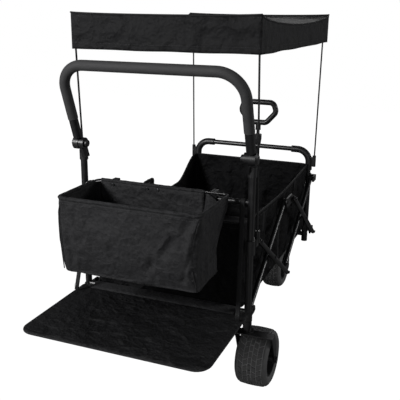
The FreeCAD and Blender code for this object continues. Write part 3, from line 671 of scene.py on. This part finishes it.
# folds of the near wall: a bent line in X and Z, its width, its depth outwards
NEAR_FOLDS = (
    (((0.205, 0.622), (0.150, 0.560), (0.085, 0.490), (0.050, 0.440)), 0.016, -0.0097),
    (((0.215, 0.615), (0.198, 0.560), (0.190, 0.480), (0.196, 0.420)), 0.011, 0.0067),
    (((-0.215, 0.625), (-0.165, 0.575), (-0.110, 0.545), (-0.020, 0.520)), 0.013, 0.0060),
    (((-0.218, 0.620), (-0.188, 0.560), (-0.182, 0.480), (-0.186, 0.425)), 0.010, -0.0067),
    (((-0.205, 0.622), (-0.178, 0.590), (-0.120, 0.500), (-0.060, 0.470)), 0.012, -0.0045),
    (((0.170, 0.430), (0.185, 0.470), (0.205, 0.520)), 0.009, -0.0060),
    (((0.040, 0.610), (0.000, 0.580), (-0.080, 0.590)), 0.020, 0.0037),
    (((0.110, 0.440), (0.080, 0.420), (0.020, 0.425)), 0.012, 0.0045),
)
# the same for the side walls, in Y and Z
SIDE_FOLDS = (
    (((-0.53, 0.60), (-0.48, 0.52), (-0.46, 0.43)), 0.013, 0.006),
    (((-0.33, 0.61), (-0.40, 0.50), (-0.45, 0.42)), 0.012, -0.006),
)


def basket_place(u, v, w):
    low, high = BAG_LOW, BAG_HIGH
    floor_high = high.y - 0.055
    x = lerp(low.x + 0.004, high.x - 0.004, u)
    y_top = lerp(low.y, high.y, v)
    y_low = lerp(low.y + 0.004, floor_high, v)
    floor_corners = Vector((low.x + 0.004, low.y + 0.004)), Vector((high.x - 0.004, floor_high))
    x, y_low = rounded(x, y_low, *floor_corners, 0.016)
    floor = low.z + 0.004 + 0.010 * v
    if w == 0:
        sag = math.sin(math.pi * u) * math.sin(math.pi * v)
        ripple = 0.003 * wander((x, y_low, 0), 14.0) * sag
        return Vector((x, y_low, floor - 0.002 + ripple + 0.012 * (1 - sag) ** 4))
    top = high.z - 0.004
    if v == 1.0:
        top -= 0.030 * smooth((u - 0.84) * 8)
    z = lerp(floor, top, w)
    rise = smooth(w)
    x_top, y_top = rounded(lerp(low.x, high.x, u), y_top, low, high, 0.012)
    x = lerp(x, x_top, rise)
    y = lerp(y_low, y_top, rise)
    belly = math.sin(math.pi * min(1.0, w * 1.05))
    if v == 0.0:
        swell = 0.007 * math.sin(math.pi * u) * belly + 0.002 * wander((x, 0, z), 16.0, 1.0) * belly
        spot = Vector((x, 0, z))
        for line, width, depth in NEAR_FOLDS:
            swell += path_crease(spot, [Vector((x_at, 0, z_at)) for x_at, z_at in line], width, depth)
        y -= swell
    elif v == 1.0:
        y += 0.010 * belly * math.sin(math.pi * u) + 0.004 * wander((x, 1, z), 18.0, 4.0) * belly
    else:
        out = 0.009 * belly * (1 - 0.5 * v) + 0.004 * wander((u, y, z), 20.0, 8.0) * belly
        spot = Vector((0, y, z))
        for line, width, depth in SIDE_FOLDS:
            out += path_crease(spot, [Vector((0, y_at, z_at)) for y_at, z_at in line], width, depth)
        x += out if u == 1.0 else -out
    if u > 0.9:
        x -= 0.020 * belly * (u - 0.9) / 0.1
    if u < 0.1:
        x -= 0.005 * belly * (0.1 - u) / 0.1
    return Vector((x, y, z))


def make_basket():
    bag = box_sheet("basket_bag", 66, 34, 34, basket_place, CLOTH)
    simulate(bag, lambda p: 1.0 if p.z > RIM_Z - 0.018 else 0.12, 14, pull=0.6, cap=0.006, bending=0.1)
    rod_z, left, right, near, far = RIM_Z, -RIM_X, RIM_X, RIM_NEAR, RIM_FAR
    round_r = 0.018

    def corner(cx, cy, start):
        arc = [on_arc(start + a, round_r) for a in range(0, 91, 15)]
        return [(cx + dx, cy + dy, rod_z) for dx, dy in arc]

    def outward(point):
        if point.y < near + 0.02:
            return Vector((0, -1, 0))
        return Vector((math.copysign(1, point.x), 0, 0))

    near_line = [(left, far - 0.030, rod_z)] + corner(left + round_r, near + round_r, 180)
    near_line += corner(right - round_r, near + round_r, 270) + [(right, far - 0.045, rod_z)]
    pieces = [sleeve("basket_rim_sleeve", near_line, 0.0058, CLOTH),
              sleeve("basket_far_sleeve", [(left + 0.012, far, rod_z), (0.145, far, rod_z)], 0.0058, CLOTH)]
    flap = box_flap("basket_far_flap", (left + 0.013, 0.144), far - 0.0062, (rod_z - 0.003, 0.560))
    pieces.append(flap)
    hem = [Vector(p) + Vector((0, 0, -0.014)) for p in near_line]
    shifted = [p + outward(p) * 0.0055 for p in hem]
    pieces.append(stitches("basket_rim_stitches", shifted, outward, THREAD, stand=0.0012))
    for n, x in enumerate((-0.165, -0.045, -0.008)):
        pieces.append(snap("basket_snap_%d" % n, (x, far - 0.0079, rod_z - 0.0095), (0, -1, 0)))
    for side, u in ((-1, 0.0), (1, 1.0)):
        stand = Vector((side * 0.0006, -0.0006, 0))
        line = [basket_place(u, 0.0, k / 20) + stand for k in range(1, 20)]
        pieces.append(tube("basket_corner_piping_" + side_name(side), line, 0.0016, CLOTH, 8))
    thicken(bag, CLOTH_THICK)
    ride(bag, "basket", ["basket_fabric"])
    for obj in pieces:
        ride(obj, "basket")


def snap(name, place, out):
    """A press stud: a low domed cap."""
    verts = []
    out = Vector(out).normalized()
    side = out.orthogonal().normalized()
    other = out.cross(side)
    sides = 20
    # radius and height of each ring of points
    rings = ((0.0050, 0.0), (0.0050, 0.0010), (0.0042, 0.0018), (0.0030, 0.0021), (0.0018, 0.0017))
    for radius, height in rings:
        for k in range(sides):
            angle = 2 * math.pi * k / sides
            turned = side * (radius * math.cos(angle)) + other * (radius * math.sin(angle))
            verts.append(Vector(place) + turned + out * height)
    faces = bands(len(rings), sides) + caps(len(rings), sides)
    return new_object(name, verts, faces, STEEL)


def box_flap(name, xs, y, zs):
    """A flat hanging strip of cloth with soft ripples."""
    nx, nz = 44, 12
    verts = []
    for k in range(nz + 1):
        for i in range(nx + 1):
            x, z = lerp(xs[0], xs[1], i / nx), lerp(zs[0], zs[1], k / nz)
            loose = k / nz
            verts.append((x, y - 0.002 * loose - 0.0035 * loose * wander((x, y, z), 13.0, 6.0), z))
    row = nx + 1
    corners = [k * row + i for k in range(nz) for i in range(nx)]
    faces = [(a, a + 1, a + row + 1, a + row) for a in corners]
    flap = new_object(name, verts, faces, CLOTH)
    thicken(flap, CLOTH_THICK)
    return flap


# ---- tub -------------------------------------------------------------------------------------
def tub_rim(x, y):
    """Height of the tub's rim: level, but slack between the hoop and the centre on the left."""
    low, high = TUB
    t = (y - low.y) / (high.y - low.y)
    dip = 0.006 * math.sin(math.pi * t) ** 2
    if x < low.x + 0.03:
        dip += 0.086 * smooth((0.985 - t) * 4.5) * (1 - 0.55 * smooth((0.60 - t) * 4)) * smooth(t * 5)
    elif x > high.x - 0.03:
        dip += 0.012 * math.sin(math.pi * t)
    return high.z - dip


def tub_place(u, v, w):
    low, high = TUB
    near, far = inward(low, high, 0.004)
    x, y = rounded(lerp(near.x, far.x, u), lerp(near.y, far.y, v), near, far, 0.022)
    if w == 0:
        return Vector((x, y, low.z + 0.0022 + 0.001 * wander((x, y, 0), 12.0)))
    top = tub_rim(x, y)
    z = lerp(low.z + 0.0022, top - 0.002, w)
    belly = math.sin(math.pi * w) ** 0.7
    if v in (0.0, 1.0):
        slack = math.sin(math.pi * u) ** 0.5
        fold = 0.5 + 0.5 * math.sin(u * 31.0 + 3.0 * wander((x, 0, z), 5.0, v * 3))
        pull = (0.016 * fold ** 2 + 0.006 * (0.5 + 0.5 * wander((x, v, z), 14.0, 5.0))) * belly * slack
        y += pull if v == 0.0 else -pull
    else:
        slack = math.sin(math.pi * v) ** 0.5
        lean = 0.5 + 0.5 * math.sin(v * 46.0 + 5.0 * (w - 0.5) * math.cos(math.pi * 2 * v)
                                    + 2.5 * wander((u, y, z), 6.0, 2.0))
        pull = (0.017 * lean ** 2 + 0.009 * (0.5 + 0.5 * wander((u, y, z), 12.0, 9.0))) * belly * slack
        x += pull if u == 0.0 else -pull
    return Vector((x, y, z))


def make_tub():
    low, high = TUB
    # The tub sheet takes the cloth that is painted darker as shade.
    tub = box_sheet("tub_cloth", 56, 92, 30, tub_place, TUB_CLOTH_PAINTED_SHADE)
    simulate(tub, lambda p: 1.0 if p.z > tub_rim(p.x, p.y) - 0.012 or p.z < low.z + 0.004 else 0.10,
             14, pull=0.7, cap=0.006, bending=0.12)
    steps = 40
    loop = [(i / steps, 0.0) for i in range(steps)] + [(1.0, j / steps) for j in range(steps)]
    loop += [(1 - i / steps, 1.0) for i in range(steps)] + [(0.0, 1 - j / steps) for j in range(steps)]
    rim_points = [tub_place(u, v, 1.0) for u, v in loop]
    pieces = [tube("tub_rim_binding", resample(rim_points, 0.012, True), 0.0036, WEBBING, 10, closed=True)]
    outward = side_of(low, high)
    hem = [tub_place(u, v, 0.94) + outward(tub_place(u, v, 0.94)) * 0.0003 for u, v in loop]
    pieces.append(stitches("tub_hem_stitches", hem, outward, THREAD, closed=True, stand=0.0012))
    for side, u in ((-1, 0.0), (1, 1.0)):
        for v in (0.0, 1.0):
            line = [tub_place(u, v, k / 24) for k in range(1, 24)]
            name = "tub_corner_piping_%s_%s" % (side_name(side), "front" if v else "rear")
            pieces.append(tube(name, line, 0.0018, CLOTH, 8))
        for n, v in enumerate((0.25, 0.5, 0.75)):
            line = [tub_place(u, v, k / 30) + Vector((side * 0.0009, 0, 0)) for k in range(1, 30)]
            name = "tub_side_tape_%s_%d" % (side_name(side), n)
            pieces.append(ribbon(name, line, (0, 1, 0), 0.022, 0.0012, WEBBING))
    thicken(tub, 0.0013)
    ride(tub, "rear_frame", ["tub_fabric"])
    for obj in pieces:
        ride(obj, "rear_frame")
    for obj in [tub] + pieces:
        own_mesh(obj)


def ribbon(name, line, across, width, thickness, look):
    """A flat strap along a line."""
    line = [Vector(p) for p in line]
    across = Vector(across).normalized()
    # eight points round the strap, in half widths and half thicknesses
    section = ((-1, -1), (-0.5, -1.15), (0.5, -1.15), (1, -1), (1, 1), (0.5, 1.15), (-0.5, 1.15), (-1, 1))
    verts = []
    for n, point in enumerate(line):
        along = (line[min(n + 1, len(line) - 1)] - line[max(n - 1, 0)]).normalized()
        out = across.cross(along).normalized()
        for a, b in section:
            verts.append(point + across * (a * width / 2) + out * (b * thickness / 2))
    faces = bands(len(line), len(section)) + caps(len(line), len(section))
    return new_object(name, verts, faces, look)


# ---- padded boards ---------------------------------------------------------------------------
def edge_steps(count, edge):
    """Steps from 0 to 1 that crowd at both ends."""
    inner = [edge + (1 - 2 * edge) * i / count for i in range(count + 1)]
    near = [edge * (1 - math.cos(math.pi / 2 * k / 6)) for k in range(6)]
    return near + inner + [1 - t for t in reversed(near)]


def padded_board(name, low, high, radii, crown, look, ripple=None, edge=0.010):
    """A padded board: two faces that meet in a rounded edge, with round corners."""
    width, length = high.x - low.x, high.y - low.y
    us, vs = edge_steps(50, edge / width), edge_steps(44, edge / length)
    middle, half = (low.z + high.z) / 2, (high.z - low.z) / 2
    verts, faces = [], []
    nu, nv = len(us), len(vs)
    for face in (1, -1):
        for v in vs:
            for u in us:
                x, y = lerp(low.x, high.x, u), lerp(low.y, high.y, v)
                radius = radii[0] if v < 0.5 else radii[1]
                inside = min(min(u, 1 - u) * width, min(v, 1 - v) * length)
                x, y = rounded(x, y, low, high, radius)
                lift = math.sqrt(max(0.0, 1 - (1 - min(1.0, inside / edge)) ** 2))
                dome = crown * math.sin(math.pi * u) ** 0.5 * math.sin(math.pi * v) ** 0.5
                z = half * lift * (1 - crown + dome)
                if face > 0 and ripple:
                    z -= ripple(x, y) * lift
                verts.append((x, y, middle + face * z))
    for face in (0, 1):
        for j in range(nv - 1):
            for i in range(nu - 1):
                a = face * nu * nv + j * nu + i
                quad = (a, a + 1, a + nu + 1, a + nu)
                faces.append(quad if face == 0 else tuple(reversed(quad)))
    board = new_object(name, verts, faces, look)
    weld = board.modifiers.new("weld", "WELD")
    weld.merge_threshold = 0.00005
    apply_modifiers(board)
    smooth_all(board.data)
    return board


def round_outline(low, high, radii, z):
    """The outline of a rectangle with round corners, counter-clockwise from the near left."""
    points = []
    for cx, cy, start, radius in ((low.x, low.y, 180, radii[0]), (high.x, low.y, 270, radii[0]),
                                  (high.x, high.y, 0, radii[1]), (low.x, high.y, 90, radii[1])):
        mx = cx + math.copysign(radius, (low.x + high.x) / 2 - cx)
        my = cy + math.copysign(radius, (low.y + high.y) / 2 - cy)
        for a in range(0, 91, 10):
            dx, dy = on_arc(start + a, radius)
            points.append(Vector((mx + dx, my + dy, z)))
    return points


def centre_yz(box):
    return (box[0].y + box[1].y) / 2, (box[0].z + box[1].z) / 2


def wrapped(x, y, z, radius, angles):
    """Points of a strap round a bar that runs along X."""
    arc = [on_arc(a, radius) for a in angles]
    return [Vector((x, y + dy, z + dz)) for dy, dz in arc]


def deck_ripple(x, y):
    near_hinge = smooth((y - (DECK[1].y - 0.16)) / 0.16)
    rows = 0.5 + 0.5 * math.sin(y * 150 + 4 * wander((x, y, 0), 5.0, 2.0))
    ripple = 0.0022 * near_hinge * rows * (0.4 + wander((x, y, 0), 9.0) ** 2 * 2)
    return ripple + 0.0012 * (0.5 + 0.5 * wander((x, y, 0), 8.0, 4.0))


def make_deck():
    low, high = Vector(DECK[0]), Vector(DECK[1])
    high.y = LOWER_BAR[0].y - 0.009
    low.z, high.z = DECK_LOW_Z, DECK_HIGH_Z
    near, far = low + Vector((0.001, 0.001, 0)), high - Vector((0.001, 0, 0))
    # The deck pad takes the cloth that is painted darker as shade.
    board = padded_board("deck_pad", near, far, DECK_RADII, 0.10, DECK_CLOTH_PAINTED_SHADE, deck_ripple)
    middle = (low.z + high.z) / 2
    near, far = low + Vector((0.002, 0.002, 0)), high - Vector((0.002, 0.001, 0))
    outline = resample(round_outline(near, far, DECK_RADII, middle), 0.008, True)
    pieces = [tube("deck_piping", outline, 0.0026, CLOTH, 10, closed=True)]
    near, far = low + Vector((0.016, 0.016, 0)), high - Vector((0.016, 0.012, 0))
    inner = resample(round_outline(near, far, (0.022, 0.006), high.z), 0.01, True)
    seam = [Vector((p.x, p.y, high.z - 0.0012 - deck_ripple(p.x, p.y))) for p in inner]
    pieces.append(stitches("deck_top_stitches", seam, (0, 0, 1), THREAD, closed=True, stand=0.0004))
    bar_y, bar_z = centre_yz(LOWER_BAR)
    line = [Vector((0, high.y - 0.030, high.z + 0.0012)), Vector((0, high.y - 0.005, high.z + 0.0010))]
    line += wrapped(0, bar_y, bar_z, DECK_SLEEVE_R, range(110, -131, -20))
    line += [Vector((0, high.y - 0.006, low.z - 0.0010)), Vector((0, high.y - 0.030, low.z - 0.0012))]
    pieces.append(ribbon("deck_hinge_sleeve", line, (1, 0, 0), DECK_SLEEVE_WIDE, 0.0014, CLOTH))
    ride(board, "deck", ["deck_panel"])
    for obj in pieces:
        ride(obj, "deck")


def make_straps():
    """The two straps that hold the deck level, looped round the upper crossbar."""
    bar_y, bar_z = centre_yz(UPPER_BAR)
    # the sewn box and its one diagonal, in X and Z from the strap's foot
    box = ((-0.005, 0.006), (0.005, 0.006), (0.005, 0.022), (-0.005, 0.022), (-0.005, 0.006), (0.005, 0.022))
    for side in (-1, 1):
        top = Vector((side * STRAP_TOP_X, bar_y - 0.0115, bar_z))
        foot = Vector((side * STRAP_FOOT_X, bar_y - 0.0865, 0.2655))
        line = wrapped(side * STRAP_TOP_X, bar_y, bar_z, 0.0100, range(-90, 181, 22))
        for step in range(1, 21):
            slack = 0.003 * math.sin(math.pi * step / 20)
            line.append(top.lerp(foot, step / 20) + Vector((0, slack, 0)))
        strap = ribbon("deck_strap_" + side_name(side), line, (1, 0, 0), STRAP_WIDE, 0.0013, WEBBING)
        box_line = [foot + Vector((dx, 0.0010 - 0.21 * dz, dz)) for dx, dz in box]
        sewn = stitches("deck_strap_stitches_" + side_name(side), box_line, (0, -1, 0.2), THREAD,
                        pitch=0.0025, stand=0.0014)
        for obj in (strap, sewn):
            ride(obj, "rear_frame")
            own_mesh(obj)
    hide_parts("deck_straps")


def make_mat():
    low, high = Vector(MAT[0]), Vector(MAT[1])

    def quilt(x, y):
        across = abs(math.sin(math.pi * (y - low.y) / QUILT_PITCH))
        return 0.0042 * math.exp(-(across / 0.10) ** 2) + 0.0008 * (0.5 + 0.5 * wander((x, y, 0), 12.0))

    mat = padded_board("floor_pad", low, high, (0.020, 0.020), 0.05, CLOTH, quilt, edge=0.006)
    ride(mat, "rear_frame", ["floor_mat"])
    seams = []
    for n in range(1, 5):
        y, z = low.y + QUILT_PITCH * n, high.z - 0.0040
        line = [Vector((lerp(low.x + 0.012, high.x - 0.012, k / 20), y, z)) for k in range(21)]
        seam = stitches("floor_pad_stitches_%d" % n, line, (0, 0, 1), THREAD, stand=0.0006)
        seams.append(ride(seam, "rear_frame"))
    for obj in [mat] + seams:
        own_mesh(obj)


# ---- tyres -----------------------------------------------------------------------------------
def tyre_surface(half, radius):
    """Profile of the tread face and shoulders: radius at a distance across from the middle."""
    def at(x):
        x = abs(x)
        if x < half - 0.020:
            return radius - 0.0016 * (x / (half - 0.020)) ** 2
        t = (x - (half - 0.020)) / 0.020
        return radius - 0.0016 - 0.021 * (1 - math.sqrt(max(0.0, 1 - t * t)))
    return at


def make_tyre(node, body):
    low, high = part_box(node)
    centre = (low + high) / 2
    half, radius = (high.x - low.x) / 2, (high.z - low.z) / 2
    surface = tyre_surface(half, radius)
    # side wall from the bead outwards: distance in from the side, height above the bead
    wall = ((0.006, 0.0), (0.0025, 0.004), (0.001, 0.010), (0.0, 0.018))
    profile = [(-half + inset, BEAD_R + height) for inset, height in wall]
    for k in range(25):
        x = lerp(-half, half, k / 24)
        sunk = TREAD_DEEP if abs(x) < half - 0.013 else 0.0
        profile.append((x, max(surface(x) - sunk, BEAD_R + 0.018)))
    profile += [(half - inset, BEAD_R + height) for inset, height in reversed(wall)]
    sides = 96
    verts, faces = [], []
    for s in range(sides):
        angle = 2 * math.pi * s / sides
        for x, r in profile:
            verts.append((centre.x + x, centre.y + r * math.cos(angle), centre.z + r * math.sin(angle)))
    count = len(profile)
    for s in range(sides):
        for k in range(count - 1):
            a, b = s * count + k, ((s + 1) % sides) * count + k
            faces.append((a, b, b + 1, a + 1))
        a, b = s * count, ((s + 1) % sides) * count
        faces.append((a + count - 1, b + count - 1, b, a))
    carcass = new_object(node + "_carcass", verts, faces, RUBBER)
    carcass.data.materials.append(GROOVE)
    for polygon in carcass.data.polygons:
        across = [verts[i][0] - centre.x for i in polygon.vertices]
        if max(map(abs, across)) < half - 0.012 and len(set(across)) < 3 and polygon.area < 0.0001:
            polygon.material_index = 1
    blocks_v, blocks_f = [], []

    def block(x0, x1, a0, a1, skew):
        start = len(blocks_v)
        inset = 0.0007
        for depth, shrink in ((-TREAD_DEEP - 0.001, 0.0), (-0.0007, 0.0), (0.0, inset)):
            for j in range(4):
                a = lerp(a0, a1, j / 3)
                a += (shrink / radius) * (1 if j == 0 else -1 if j == 3 else 0)
                for i in range(4):
                    x = lerp(x0, x1, i / 3) + shrink * (1 if i == 0 else -1 if i == 3 else 0)
                    turn = a + skew * (x - (x0 + x1) / 2)
                    r = surface(x) + depth
                    y, z = r * math.cos(turn), r * math.sin(turn)
                    blocks_v.append((centre.x + x, centre.y + y, centre.z + z))
        rim = [0, 1, 2, 3, 7, 11, 15, 14, 13, 12, 8, 4]
        for layer in range(2):
            base, above = start + layer * 16, start + (layer + 1) * 16
            for k in range(12):
                p, q = rim[k], rim[(k + 1) % 12]
                blocks_f.append((base + p, base + q, above + q, above + p))
        top = start + 32
        for j in range(3):
            for i in range(3):
                p = top + j * 4 + i
                blocks_f.append((p, p + 1, p + 5, p + 4))

    step = 2 * math.pi / TREAD_PITCHES
    reach = half - 0.013
    edges = [-reach, -reach * 0.56, -reach * 0.16, reach * 0.16, reach * 0.56, reach]
    for n in range(TREAD_PITCHES):
        for column in range(5):
            shift = TREAD_SHIFT[column] + 0.05 * random.uniform(-1, 1)
            a0 = (n + shift) * step
            x0, x1 = edges[column] + TREAD_GAP / 2, edges[column + 1] - TREAD_GAP / 2
            block(x0, x1, a0, a0 + step - TREAD_GAP / radius, TREAD_SKEW[column])
    tread = new_object(node + "_tread", blocks_v, blocks_f, RUBBER, smooth_faces=False)
    tyre = join(node + "_rubber", [carcass, tread])
    smooth_by_angle(tyre, 32)
    ride(tyre, body, [node])


def smooth_by_angle(obj, degrees):
    smooth_all(obj.data)
    obj.data.set_sharp_from_angle(angle=math.radians(degrees))


def make_tyres():
    for name in ("left", "right"):
        make_tyre("rear_tyre_" + name, "rear_wheel_" + name)
        make_tyre("caster_tyre_" + name, "caster_wheel_" + name)


# ---- camera, light and floor -----------------------------------------------------------------
def aim_camera():
    data = bpy.data.cameras.new("camera")
    data.lens = LENS
    data.sensor_width = SENSOR
    camera = bpy.data.objects.new("camera", data)
    bpy.context.scene.collection.objects.link(camera)
    azimuth, pitch, roll = (math.radians(a) for a in (CAMERA_AZIMUTH, CAMERA_PITCH, CAMERA_ROLL))
    level = math.cos(pitch)
    forward = Vector((-math.sin(azimuth) * level, math.cos(azimuth) * level, -math.sin(pitch)))
    right = Vector((math.cos(azimuth), math.sin(azimuth), 0.0))
    up = right.cross(forward)
    right_rolled = right * math.cos(roll) + up * math.sin(roll)
    up_rolled = up * math.cos(roll) - right * math.sin(roll)
    turn = Matrix((right_rolled, up_rolled, -forward)).transposed()
    camera.matrix_world = Matrix.Translation(CAMERA_PLACE) @ turn.to_4x4()
    bpy.context.scene.camera = camera


def area_light(name, place, target, size, power):
    data = bpy.data.lights.new(name, "AREA")
    data.shape = "RECTANGLE"
    data.size, data.size_y = size
    data.energy = power
    light = bpy.data.objects.new(name, data)
    bpy.context.scene.collection.objects.link(light)
    light.location = place
    light.rotation_mode = "QUATERNION"
    light.rotation_quaternion = (Vector(target) - Vector(place)).to_track_quat("-Z", "Y")


def light_world():
    """Dim light from all round, that the camera sees as white."""
    world = bpy.data.worlds.new("world")
    bpy.context.scene.world = world
    world.use_nodes = True
    tree = world.node_tree
    background = tree.nodes["Background"]
    ray = tree.nodes.new("ShaderNodeLightPath")
    mix = tree.nodes.new("ShaderNodeMix")
    mix.data_type = "RGBA"
    mix.inputs["A"].default_value = WORLD_GREY
    mix.inputs["B"].default_value = (1.0, 1.0, 1.0, 1.0)
    tree.links.new(ray.outputs["Is Camera Ray"], mix.inputs["Factor"])
    tree.links.new(mix.outputs["Result"], background.inputs["Color"])


def lay_floor():
    """A white sweep for the camera that gives back little light to the wagon."""
    size = FLOOR_SIZE
    floor = new_object("floor", [(-size, -size, 0), (size, -size, 0), (size, size, 0), (-size, size, 0)],
                       [(0, 1, 2, 3)])
    look = bpy.data.materials.new("white_sweep")
    look.use_nodes = True
    nodes, links = look.node_tree.nodes, look.node_tree.links
    shader = nodes["Principled BSDF"]
    shader.inputs["Base Color"].default_value = FLOOR_GREY
    shader.inputs["Roughness"].default_value = 0.6
    glow = nodes.new("ShaderNodeEmission")
    glow.inputs["Strength"].default_value = 1.05
    blend = nodes.new("ShaderNodeMixShader")
    path = nodes.new("ShaderNodeLightPath")
    links.new(path.outputs["Is Camera Ray"], blend.inputs[0])
    links.new(shader.outputs["BSDF"], blend.inputs[1])
    links.new(glow.outputs["Emission"], blend.inputs[2])
    links.new(blend.outputs[0], nodes["Material Output"].inputs["Surface"])
    floor.data.materials.append(look)


dress_frame()
make_canopy()
make_basket()
make_tub()
make_mat()
make_deck()
make_straps()
make_tyres()
aim_camera()
light_world()
for light in LIGHTS:
    area_light(*light)
lay_floor()
bpy.context.scene.view_settings.view_transform = "Standard"
